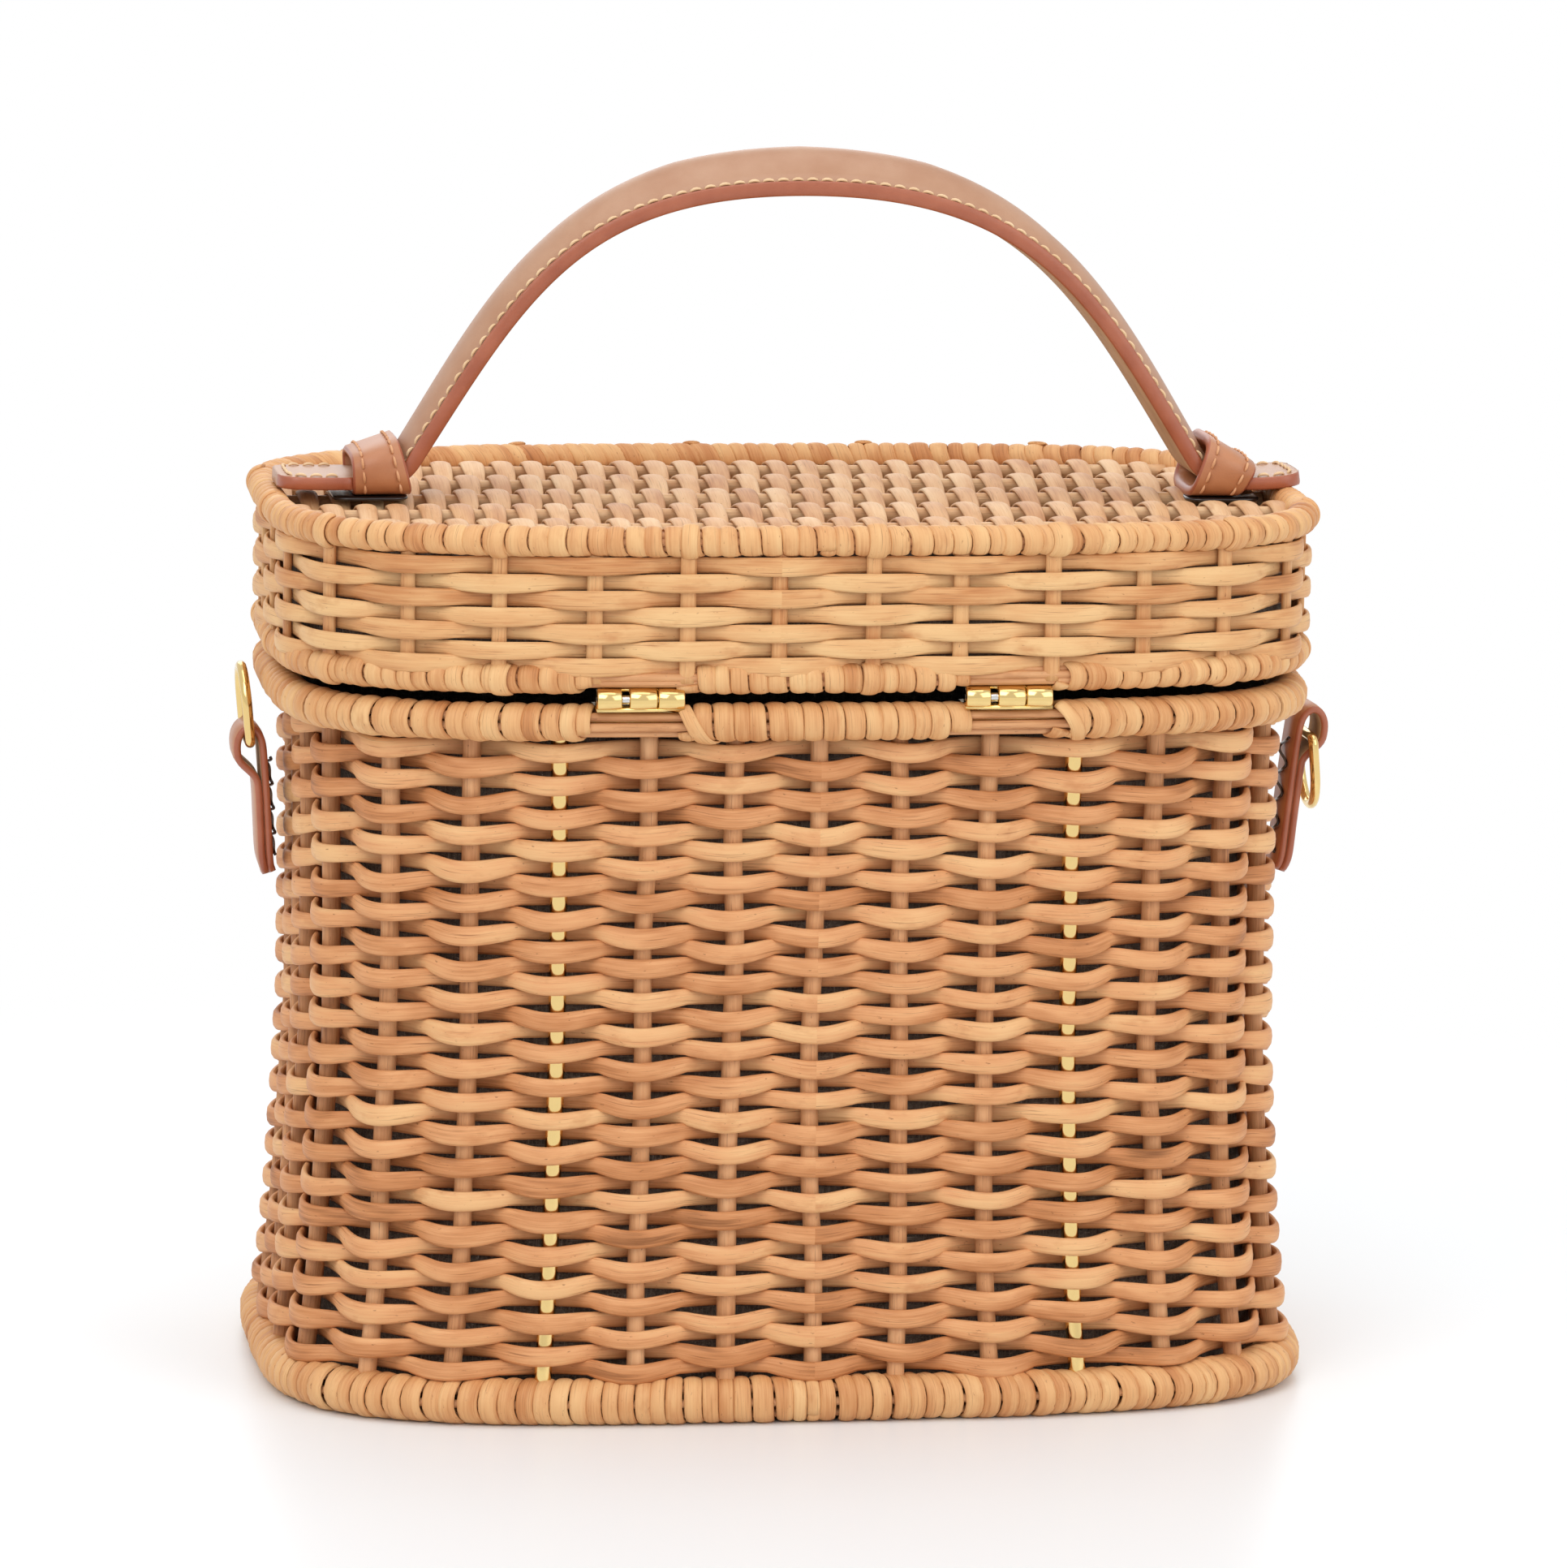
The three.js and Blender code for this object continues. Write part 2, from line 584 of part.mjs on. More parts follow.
// Side tabs: a strap that goes up the wall, folds over the ring's bar and comes down on itself.
// In the outline, u runs out from the wall and v up along the strap.
function tabOutline(height) {
  const t = TAB_THICKNESS;
  const slit = 0.3;
  const outerBack = 2 * t + slit;
  const { halfWidth, halfHeight } = TAB_POCKET;
  const pocket = { u: TAB_POCKET.out, v: height - TAB_POCKET.below };
  const points = [[0, 0], [0, pocket.v]];
  const turn = (from, to, steps, grow) => {
    for (let i = 0; i <= steps; i += 1) {
      const angle = THREE.MathUtils.degToRad(from + ((to - from) * i) / steps);
      const u = pocket.u + (halfWidth + grow) * Math.cos(angle);
      const v = pocket.v + (halfHeight + grow) * Math.sin(angle);
      points.push([u, v]);
    }
  };
  turn(165, -25, 8, t);
  points.push([outerBack + 0.6, pocket.v - 9.5], [outerBack, pocket.v - 13]);
  points.push([outerBack, 3], [outerBack - 1.2, 0.6], [t + slit, 0]);
  points.push([t + slit, pocket.v - 8.4]);
  turn(-45, 200, 10, 0);
  points.push([t, pocket.v - 7.4], [t, 0]);
  return points;
}

function tabPlace(tab) {
  const lean = THREE.MathUtils.degToRad(tab.lean);
  const foot = tab.top - tab.height * Math.cos(lean);
  return (u, v) => {
    const x = tab.footX + u * Math.cos(lean) + v * Math.sin(lean);
    const z = foot - u * Math.sin(lean) + v * Math.cos(lean);
    return [x, z];
  };
}

// A D-ring: a straight bar with a round bow, drawn with its bow up and its bar on the origin.
function ringBow() {
  const legs = RING_HEIGHT - RING_HALF_WIDTH;
  const points = [new THREE.Vector3(0, -RING_HALF_WIDTH, 0)];
  const steps = 12;
  for (let i = 0; i <= steps; i += 1) {
    const angle = Math.PI - (Math.PI * i) / steps;
    const y = RING_HALF_WIDTH * Math.cos(angle);
    points.push(new THREE.Vector3(0, y, legs + RING_HALF_WIDTH * Math.sin(angle)));
  }
  points.push(new THREE.Vector3(0, RING_HALF_WIDTH, 0));
  return new THREE.CatmullRomCurve3(points, false, "centripetal");
}

function dRing() {
  const bow = sweep(roundSection(RING_WIRE, 8), ringBow(), 22);
  const bar = new THREE.CylinderGeometry(RING_WIRE, RING_WIRE, 2 * RING_HALF_WIDTH + 1.6, 8);
  return join(bow, bar);
}

function buildSides() {
  for (const [name, side] of [["left", -1], ["right", 1]]) {
    const tab = SIDE_TABS[name];
    const place = tabPlace(tab);
    const outline = tabOutline(tab.height).map(([u, v]) => place(u, v));
    const half = TAB_WIDTH / 2;
    const mirror = (geometry) => (side < 0 ? mirrorX(geometry) : geometry);
    addPart(`side_tab_${name}`, mirror(extrudeAlongY(outline, -half, half)), leatherEdge);

    const stripTop = tab.height - 13;
    const strip = [[-1.3, 4], [-GAP, 4], [-GAP, stripTop], [-1.3, stripTop]].map(([u, v]) => place(u, v));
    addPart(`side_tab_backing_${name}`, mirror(extrudeAlongY(strip, 2 - half, half - 2)), backing);

    const [barX, barZ] = place(TAB_POCKET.out, tab.bar);
    const lean = THREE.MathUtils.degToRad(side < 0 ? 180 - RING_LEAN.left : RING_LEAN.right);
    const placed = dRing().rotateY(lean).translate(barX, 0, barZ);
    addPart(`d_ring_${name}`, mirror(placed), brass);
  }
}

// Front closure: the tab hangs from an anchor on the lid and its magnet meets a base on the body.

function closureRivetHole() {
  const hole = new THREE.CylinderGeometry(RIVET_RADIUS + GAP, RIVET_RADIUS + GAP, 20, 10);
  return hole.translate(0, -HALF_DEPTH, (CLOSURE_ANCHOR.bottom + CLOSURE_ANCHOR.top) / 2);
}

function discAlongY(radius, y0, y1, z, sides = 16) {
  return new THREE.CylinderGeometry(radius, radius, y1 - y0, sides).translate(0, (y0 + y1) / 2, z);
}

function closureTab() {
  const half = CLOSURE_WIDTH / 2;
  const { inner, outer, top, bottom } = CLOSURE_TAB;
  const points = [[-half, top], [-half, bottom + half]];
  const steps = 8;
  for (let i = 1; i <= steps; i += 1) {
    const angle = Math.PI + (Math.PI * i) / steps;
    points.push([half * Math.cos(angle), bottom + half + half * Math.sin(angle)]);
  }
  points.push([half, top]);
  const tab = extrudeAlongY(points, -outer, -inner);
  const recess = discAlongY(SNAP_RADIUS + GAP, -inner - 2.2, -inner + 1, SNAP_Z);
  return cut(tab, recess);
}

function buildClosure() {
  const half = CLOSURE_WIDTH / 2;
  const { inner, outer, bottom, top } = CLOSURE_ANCHOR;
  const anchor = box(-half, half, -outer, -inner, bottom, top);
  addPart("closure_anchor", cut(anchor, closureRivetHole()), leather);
  const rivetZ = (bottom + top) / 2;
  const shankInner = -HALF_DEPTH - LID_WALL.offset + LID_WALL.thickness;
  const shank = discAlongY(RIVET_RADIUS, -outer - 0.6, shankInner, rivetZ, 10);
  const head = discAlongY(3, -outer - 1.4, -outer - GAP, rivetZ, 12);
  addPart("closure_rivet", join(shank, head), brass);
  addPart("closure_tab", closureTab(), leather);
  const magnet = discAlongY(SNAP_RADIUS, -CLOSURE_TAB.inner - 1.85, -CLOSURE_TAB.inner - 0.1, SNAP_Z);
  addPart("closure_magnet", magnet, steel);
  const padInner = HALF_DEPTH + wallOffset(SNAP_Z + 10) + GAP;
  const padOuter = padInner + 2;
  addPart("snap_pad", box(-12, 12, -padOuter, -padInner, SNAP_Z - 11, SNAP_Z + 10), leather);
  addPart("snap_base", discAlongY(SNAP_RADIUS, -CLOSURE_TAB.inner + GAP, -padOuter - GAP, SNAP_Z), steel);
}

buildBody();
buildLid();
buildHinge("left", -HINGE_X);
buildHinge("right", HINGE_X);
buildHandle();
buildSides();
buildClosure();

export default basket;
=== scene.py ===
import math

import bmesh
import bpy
import numpy as np
from mathutils import Matrix, Vector


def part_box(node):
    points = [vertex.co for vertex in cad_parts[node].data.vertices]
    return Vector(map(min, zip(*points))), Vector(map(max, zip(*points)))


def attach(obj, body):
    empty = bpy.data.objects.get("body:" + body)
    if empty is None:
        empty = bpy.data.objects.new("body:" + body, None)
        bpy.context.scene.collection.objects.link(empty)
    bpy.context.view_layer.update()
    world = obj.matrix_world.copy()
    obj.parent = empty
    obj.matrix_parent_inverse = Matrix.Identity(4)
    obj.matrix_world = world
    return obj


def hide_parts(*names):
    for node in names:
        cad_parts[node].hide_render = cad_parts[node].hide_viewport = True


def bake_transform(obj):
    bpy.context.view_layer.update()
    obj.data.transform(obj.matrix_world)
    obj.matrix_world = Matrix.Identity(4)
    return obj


# Looks of a wicker picnic basket: rattan woven on stakes, a domed leather strap handle, brass
# fittings and a grey linen lining. Lengths are in millimetres until a mesh is made.
# The frame has +Z up and the hinges at +Y.

MM = 0.001
TURN = 2 * math.pi

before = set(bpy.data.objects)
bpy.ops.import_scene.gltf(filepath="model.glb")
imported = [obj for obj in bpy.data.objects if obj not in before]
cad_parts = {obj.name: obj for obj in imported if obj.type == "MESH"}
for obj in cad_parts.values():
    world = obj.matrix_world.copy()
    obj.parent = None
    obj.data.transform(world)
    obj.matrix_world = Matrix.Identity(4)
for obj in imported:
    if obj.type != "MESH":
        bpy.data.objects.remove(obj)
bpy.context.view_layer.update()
rng = np.random.default_rng(42)


def box_mm(node):
    low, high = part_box(node)
    return np.array(low) / MM, np.array(high) / MM


def signed_power(v, power):
    return np.sign(v) * np.abs(v) ** power


def unit(v):
    return v / np.maximum(np.linalg.norm(v, axis=-1, keepdims=True), 1e-12)


def run_length(line):
    """Length along a line up to each of its points."""
    return np.concatenate([[0], np.cumsum(np.linalg.norm(np.diff(line, axis=0), axis=1))])


def at_length(s, run, line):
    """Points at lengths s along a line, whose run_length is run."""
    return np.column_stack([np.interp(s, run, column) for column in line.T])


def plane_normal(line):
    """Unit normal, to the left, along a line in a plane."""
    tangent = unit(np.gradient(line, axis=0))
    return np.column_stack([-tangent[:, 1], tangent[:, 0]])


def facing(direction, count):
    """The same outward direction for count points."""
    return np.tile(np.array(direction, float), (count, 1))


# -------- plan outline of the basket

rim_low, rim_high = box_mm("base_rim")
BASE_SPREAD = 1.6  # the base rim stands out this far past the plan
HALF_WIDTH = (rim_high[0] - rim_low[0]) / 2 - BASE_SPREAD
HALF_DEPTH = (rim_high[1] - rim_low[1]) / 2 - BASE_SPREAD
CORNER = 3.85  # exponent of the superellipse
USUAL_INSET = 7  # how far inside the plan the woven walls mostly run


def outline_table(count=24001):
    """Unit outline by share of its length: 0 at the middle of the back, rising towards +X."""
    angle = np.linspace(0, TURN, count)
    s, c = np.sin(angle), np.cos(angle)
    x, y = signed_power(s, 2 / CORNER), signed_power(c, 2 / CORNER)
    step = np.hypot(np.diff(x) * (HALF_WIDTH - USUAL_INSET), np.diff(y) * (HALF_DEPTH - USUAL_INSET))
    run = np.concatenate([[0], np.cumsum(step)])
    return run / run[-1], x, y, run[-1]


SHARE, UNIT_X, UNIT_Y, AROUND = outline_table()


def plan(u, offset):
    """Points (x, y) at share u of the outline, moved out by offset."""
    u = np.mod(u, 1.0)
    x = (HALF_WIDTH + offset) * np.interp(u, SHARE, UNIT_X)
    y = (HALF_DEPTH + offset) * np.interp(u, SHARE, UNIT_Y)
    return np.stack([x, y], -1)


def plan_normal(u):
    u = np.mod(u, 1.0)
    x, y = np.interp(u, SHARE, UNIT_X), np.interp(u, SHARE, UNIT_Y)
    nx = signed_power(x, CORNER - 1) / HALF_WIDTH
    ny = signed_power(y, CORNER - 1) / HALF_DEPTH
    return unit(np.stack([nx, ny], -1))


def around_path(u, offset, z):
    """Path on the outline and the outward direction along it."""
    path = np.column_stack([plan(u, offset), np.broadcast_to(z, np.shape(u))])
    out = np.column_stack([plan_normal(u), np.zeros(len(path))])
    return path, out


def smooth_noise(count, knots, size):
    """Seeded smooth closed noise along a run of count samples."""
    values = rng.normal(0, 1, knots)
    values = np.append(values, values[0])
    t = np.linspace(0, knots, count)
    i = np.minimum(t.astype(int), knots - 1)
    f = t - i
    f = f * f * (3 - 2 * f)
    return size * (values[i] * (1 - f) + values[i + 1] * f)


# -------- meshes made of swept strands

def circle(count):
    a = np.arange(count) * TURN / count
    return 0.5 * np.column_stack([np.cos(a), np.sin(a)])


def rounded(count, power):
    """Unit section of a superellipse."""
    a = (np.arange(count) + 0.5) * TURN / count
    return 0.5 * np.column_stack([signed_power(np.cos(a), power), signed_power(np.sin(a), power)])


ROUND = circle(10)
WEAVER = rounded(10, 0.8)
DOMED = np.array([[-0.46, -0.5], [0.46, -0.5], [0.5, -0.16], [0.45, 0.14], [0.31, 0.38], [0.11, 0.5],
                  [-0.11, 0.5], [-0.31, 0.38], [-0.45, 0.14], [-0.5, -0.16]])

class Piece:
    """Collects swept strands and other surfaces, then makes one mesh object of them."""

    def __init__(self, name):
        self.name = name
        self.points, self.grain, self.tone = [], [], []
        self.quads, self.bands, self.tris = [], [], []
        self.count = 0

    def add(self, points, quads, tris, grain, tone, bands=0):
        """bands are the quads' places in the list of materials; triangles have the first material."""
        self.points.append(points)
        self.grain.append(grain)
        self.tone.append(np.broadcast_to(tone, len(points)))
        self.quads.append(np.asarray(quads, int).reshape(-1, 4) + self.count)
        self.tris.append(np.asarray(tris, int).reshape(-1, 3) + self.count)
        self.bands.append(np.broadcast_to(bands, len(self.quads[-1])))
        self.count += len(points)

    def sweep(self, path, out, sections, tone=0.5, closed=False, bands=None, warp=None):
        """Sweeps sections (n, k, 2) of (across, out) along path; closed paths repeat their start."""
        n, k = sections.shape[:2]
        bands = bands or [0] * k
        if closed:
            inner = np.roll(path[:-1], -1, axis=0) - np.roll(path[:-1], 1, axis=0)
            tangent = unit(np.vstack([inner, inner[:1]]))
        else:
            tangent = unit(np.gradient(path, axis=0))
        side = unit(np.cross(out, tangent))
        rise = np.cross(tangent, side)
        points = path[:, None] + side[:, None] * sections[..., :1] + rise[:, None] * sections[..., 1:]
        if warp:
            points = warp(points)
        along = run_length(path) + rng.uniform(0, 400)
        grain = np.dstack([np.broadcast_to(along[:, None], (n, k)), sections])
        i = (np.arange(n - 1) * k)[:, None]
        j, j2 = np.arange(k), (np.arange(k) + 1) % k
        quads = np.stack([i + j, i + j2, i + k + j2, i + k + j], -1).reshape(-1, 4)
        tris = []
        if not closed:
            fan = np.arange(1, k - 1)
            start = np.column_stack([fan * 0, fan + 1, fan])
            end = np.column_stack([fan * 0, fan, fan + 1]) + (n - 1) * k
            tris = np.vstack([start, end])
        self.add(points.reshape(-1, 3), quads, tris, grain.reshape(-1, 3), tone, np.tile(bands, n - 1))

    def strand(self, path, out, section, width, thickness, tone=0.5, closed=False):
        """Sweeps one unit section. width, thickness and tone are numbers or hold one value per point."""
        size = np.stack(np.broadcast_arrays(width, thickness, path[:, 0])[:2], -1)
        if np.ndim(tone):
            tone = np.repeat(tone, len(section))
        self.sweep(path, out, section[None] * size[:, None], tone, closed)

    def grid(self, points, tris=()):
        """A surface from points (rows, columns, 3), whose last column joins the first."""
        rows, cols = points.shape[:2]
        r = np.arange(rows - 1)[:, None] * cols
        c, c2 = np.arange(cols), (np.arange(cols) + 1) % cols
        quads = np.stack([r + c, r + c2, r + cols + c2, r + cols + c], -1).reshape(-1, 4)
        flat = points.reshape(-1, 3)
        self.add(flat, quads, tris, flat, 0.5)

    def build(self, materials, body=None, slot=None, stands_for=()):
        points = np.concatenate(self.points) * MM
        quads, tris = np.concatenate(self.quads), np.concatenate(self.tris)
        mesh = bpy.data.meshes.new(self.name)
        mesh.vertices.add(len(points))
        mesh.vertices.foreach_set("co", points.astype(np.float32).ravel())
        corners = np.concatenate([quads.ravel(), tris.ravel()])
        mesh.loops.add(len(corners))
        mesh.loops.foreach_set("vertex_index", corners.astype(np.int32))
        starts = np.concatenate([np.arange(len(quads)) * 4, len(quads) * 4 + np.arange(len(tris)) * 3])
        mesh.polygons.add(len(starts))
        mesh.polygons.foreach_set("loop_start", starts.astype(np.int32))
        mesh.polygons.foreach_set("use_smooth", np.ones(len(starts), bool))
        bands = np.concatenate([*self.bands, np.zeros(len(tris), int)])
        mesh.polygons.foreach_set("material_index", bands.astype(np.int32))
        grain = mesh.attributes.new("grain", "FLOAT_VECTOR", "POINT")
        grain.data.foreach_set("vector", np.concatenate(self.grain).astype(np.float32).ravel())
        tone = mesh.attributes.new("tone", "FLOAT", "POINT")
        tone.data.foreach_set("value", np.concatenate(self.tone).astype(np.float32))
        mesh.update(calc_edges=True)
        mesh.validate()
        for material in materials if isinstance(materials, (list, tuple)) else [materials]:
            mesh.materials.append(material)
        made = bpy.data.objects.new(self.name, mesh)
        bpy.context.scene.collection.objects.link(made)
        if body:
            settle(made, body, stands_for)
        return made


def settle(made, body, stands_for=()):
    """Fixes a piece to its body and the CAD nodes it stands for."""
    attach(made, body)
    if stands_for:
        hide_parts(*stands_for)


def bend(made, bodies, levels, stands_for=()):
    """Bakes a leather piece's placement into its mesh and hides the CAD nodes it stands for; bodies and
    levels are not used.
    """
    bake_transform(made)
    if stands_for:
        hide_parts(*stands_for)


def recalculate(made):
    """Turns a closed mesh's faces outwards."""
    mesh = bmesh.new()
    mesh.from_mesh(made.data)
    bmesh.ops.recalc_face_normals(mesh, faces=mesh.faces)
    mesh.to_mesh(made.data)
    mesh.free()


# -------- materials

def linear(r, g, b):
    """sRGB 0-255 to linear, with alpha."""
    c = np.array([r, g, b]) / 255
    c = np.where(c <= 0.04045, c / 12.92, ((c + 0.055) / 1.055) ** 2.4)
    return (*c.tolist(), 1.0)


def new_material(name):
    material = bpy.data.materials.new(name)
    material.use_nodes = True
    tree = material.node_tree
    return material, tree, tree.nodes["Principled BSDF"]


def node(tree, kind, inputs=None, **settings):
    made = tree.nodes.new(kind)
    for key, value in settings.items():
        setattr(made, key, value)
    for key, value in (inputs or {}).items():
        if isinstance(value, bpy.types.NodeSocket):
            tree.links.new(value, made.inputs[key])
        else:
            made.inputs[key].default_value = value
    return made


def attribute(tree, name):
    return node(tree, "ShaderNodeAttribute", attribute_name=name)


def maths(tree, operation, *values, clamp=False):
    inputs = dict(enumerate(values))
    return node(tree, "ShaderNodeMath", inputs, operation=operation, use_clamp=clamp).outputs[0]


def noise(tree, vector, scale, detail=2.0, rough=0.55):
    inputs = {"Vector": vector, "Scale": scale, "Detail": detail, "Roughness": rough}
    return node(tree, "ShaderNodeTexNoise", inputs).outputs["Fac"]


def stretched(tree, vector, x, y, z):
    inputs = {0: vector, 1: (x, y, z)}
    return node(tree, "ShaderNodeVectorMath", inputs, operation="MULTIPLY").outputs[0]


def ramp(tree, factor, stops):
    made = node(tree, "ShaderNodeValToRGB", {"Fac": factor})
    elements = made.color_ramp.elements
    while len(elements) < len(stops):
        elements.new(0.5)
    for element, (position, colour) in zip(elements, stops):
        element.position = position
        element.color = colour
    return made.outputs["Color"]


def mix_colour(tree, factor, a, b):
    inputs = {"Factor": factor, "A": a, "B": b}
    made = node(tree, "ShaderNodeMix", data_type="RGBA")
    for key, value in inputs.items():
        socket = [s for s in made.inputs if s.name == key and (key == "Factor" or s.type == "RGBA")][0]
        if isinstance(value, bpy.types.NodeSocket):
            tree.links.new(value, socket)
        else:
            socket.default_value = value
    return [s for s in made.outputs if s.type == "RGBA"][0]


def add_bump(tree, shader, height, strength, distance):
    inputs = {"Height": height, "Strength": strength, "Distance": distance}
    bump = node(tree, "ShaderNodeBump", inputs)
    tree.links.new(bump.outputs["Normal"], shader.inputs["Normal"])


def rattan(name, stops, lift=0.0, roughness=0.5):
    """Split cane: fine fibres along the strand, patches of tone, russet stains and dark flecks."""
    material, tree, shader = new_material(name)
    grain = attribute(tree, "grain").outputs["Vector"]
    tone = attribute(tree, "tone").outputs["Fac"]


    def pattern(along, across, detail, rough):
        """Noise per millimetre along and across the strand."""
        return noise(tree, stretched(tree, grain, along, across, across), 1.0, detail, rough)

    fibre, patch = pattern(0.06, 1.9, 4.0, 0.65), pattern(0.045, 0.16, 2.0, 0.6)
    stain, streak = pattern(0.11, 0.25, 3.0, 0.6), pattern(0.08, 2.6, 2.0, 0.6)
    fleck = pattern(0.55, 1.3, 2.0, 0.6)
    value = maths(tree, "MULTIPLY_ADD", tone, 0.40, lift + 0.06)
    value = maths(tree, "MULTIPLY_ADD", patch, 0.95, value)
    value = maths(tree, "MULTIPLY_ADD", fibre, 0.55, value)
    value = maths(tree, "SUBTRACT", value, 0.52, clamp=True)
    colour = ramp(tree, value, [(0.04, stops[0]), (0.28, stops[1]), (0.52, stops[2]), (0.84, stops[3])])
    marks = [(stain, 0.55, 0.8, 0.75, stops[1]), (streak, 0.60, 0.76, 0.6, stops[0]),
             (fleck, 0.68, 0.78, 0.7, stops[0])]
    for source, low, high, share, tint in marks:
        mask = node(tree, "ShaderNodeMapRange", {"Value": source, "From Min": low, "From Max": high})
        colour = mix_colour(tree, maths(tree, "MULTIPLY", mask.outputs[0], share), colour, tint)
    tree.links.new(colour, shader.inputs["Base Color"])
    shader.inputs["Roughness"].default_value = roughness
    shader.inputs["Specular IOR Level"].default_value = 0.35
    add_bump(tree, shader, fibre, 0.4, 0.0004)
    return material


def leather(name, base, deep, roughness=0.42, coat=0.0, coat_roughness=0.3):
    material, tree, shader = new_material(name)
    place = node(tree, "ShaderNodeTexCoord").outputs["Object"]
    cloud = noise(tree, place, 90.0, 3.0)
    pores = noise(tree, place, 2600.0, 2.0, 0.6)
    colour = ramp(tree, cloud, [(0.3, deep), (0.7, base)])
    tree.links.new(colour, shader.inputs["Base Color"])
    shader.inputs["Roughness"].default_value = roughness
    shader.inputs["Coat Weight"].default_value = coat
    shader.inputs["Coat Roughness"].default_value = coat_roughness
    add_bump(tree, shader, pores, 0.25, 0.0002)
    return material


def metal(name, base, roughness):
    material, tree, shader = new_material(name)
    place = node(tree, "ShaderNodeTexCoord").outputs["Object"]
    wear = noise(tree, place, 400.0, 3.0)
    tint = mix_colour(tree, maths(tree, "MULTIPLY", wear, 0.25), base, (*[c * 0.75 for c in base[:3]], 1))
    tree.links.new(tint, shader.inputs["Base Color"])
    spread = node(tree, "ShaderNodeMapRange",
                  {"Value": wear, "To Min": roughness * 0.7, "To Max": roughness * 1.3})
    tree.links.new(spread.outputs[0], shader.inputs["Roughness"])
    shader.inputs["Metallic"].default_value = 1.0
    return material


def linen(name):
    """Grey plain-weave linen, its colours darkened as painted shade for the dim inside of the basket."""
    material, tree, shader = new_material(name)
    place = node(tree, "ShaderNodeTexCoord").outputs["Object"]
    slub = noise(tree, place, 500.0, 3.0, 0.7)
    along_x, along_y, along_z = (
        noise(tree, stretched(tree, place, *shares), 420.0, 2.0, 0.6)
        for shares in [(0.35, 6.0, 6.0), (6.0, 0.35, 6.0), (6.0, 6.0, 0.35)])
    threads = maths(tree, "MAXIMUM", along_x, maths(tree, "MAXIMUM", along_y, along_z))
    value = maths(tree, "MULTIPLY_ADD", slub, 0.3, maths(tree, "MULTIPLY", threads, 0.7))
    # Painted shade: the dark brown and mid stops sit well below the linen's own grey, for the shade
    # inside the basket.
    colour = ramp(tree, value, [(0.42, linear(62, 52, 44)), (0.62, linear(116, 104, 92)),
                                (0.8, linear(196, 188, 178))])
    tree.links.new(colour, shader.inputs["Base Color"])
    shader.inputs["Roughness"].default_value = 0.9
    add_bump(tree, shader, threads, 0.5, 0.0004)
    return material


BODY_TONES = [linear(132, 80, 40), linear(196, 130, 80), linear(221, 159, 108), linear(231, 182, 128)]
LID_TONES = [linear(144, 88, 48), linear(198, 134, 82), linear(220, 166, 112), linear(231, 187, 132)]
TOP_TONES = [linear(146, 94, 56), linear(196, 142, 98), linear(216, 168, 122), linear(230, 192, 148)]
STAKE_TONES = [linear(122, 74, 44), linear(182, 124, 80), linear(210, 152, 104), linear(228, 176, 128)]
body_cane = rattan("body_cane", BODY_TONES, 0.03)
lid_cane = rattan("lid_cane", LID_TONES, 0.06)
rim_cane = rattan("rim_cane", LID_TONES, 0.02)
top_cane = rattan("top_cane", TOP_TONES, 0.04)
stake_cane = rattan("stake_cane", STAKE_TONES)
tan_leather = leather("tan_leather", linear(190, 128, 86), linear(176, 112, 72), 0.45, 0.35, 0.4)
# The strap's grain side is a paler, greyer copy of tan_leather: painted sheen for the whitish reflection
# on the strap's top.
strap_leather_painted_sheen = leather("strap_leather_painted_sheen", linear(184, 140, 110), linear(174, 126, 94), 0.45, 0.35, 0.4)
edge_paint = leather("edge_paint", linear(174, 100, 70), linear(156, 82, 54), 0.34, 0.2)
flesh = leather("flesh_side", linear(206, 176, 142), linear(184, 150, 116), 0.8)
dark_backing = leather("dark_backing", linear(44, 34, 32), linear(26, 20, 20), 0.25, 0.4)
thread = leather("thread", linear(238, 208, 168), linear(222, 186, 142), 0.7)
warm_thread = leather("warm_thread", linear(226, 174, 132), linear(206, 148, 104), 0.7)
brass = metal("brass", (0.88, 0.64, 0.27, 1), 0.14)
steel = metal("steel", (0.72, 0.71, 0.70, 1), 0.22)
linen_painted_shade = linen("linen_painted_shade")


# -------- woven walls

STAKES = 32
STAKE_R = 2.35
WEAVER_T = 2.1
WALL_LOW, WALL_HIGH = 11.9, 170.9
BODY_ROWS = 38
BODY_WIDTHS = (5.0, 4.1, 4.5)
STAKE_LOW, STAKE_HIGH = 8.5, 173
ROD_LOW, ROD_HIGH, ROD_WIDTH = 8, 173.4, 4.4
STEPS = 12  # samples along a weaver from one stake to the next
ROD_STAKES = [3, STAKES - 3, STAKES // 2 - 3, STAKES // 2 + 3]
WALL_FACE = ([11.9, 24, 43, 62, 91, 139, 170.9], [-0.5, -2.1, -3.9, -5.0, -6.6, -6.8, -6.4])


def waist(z):
    """Offset of the wall's outer face at height z: it flares out at its foot."""
    return np.interp(z, *WALL_FACE)


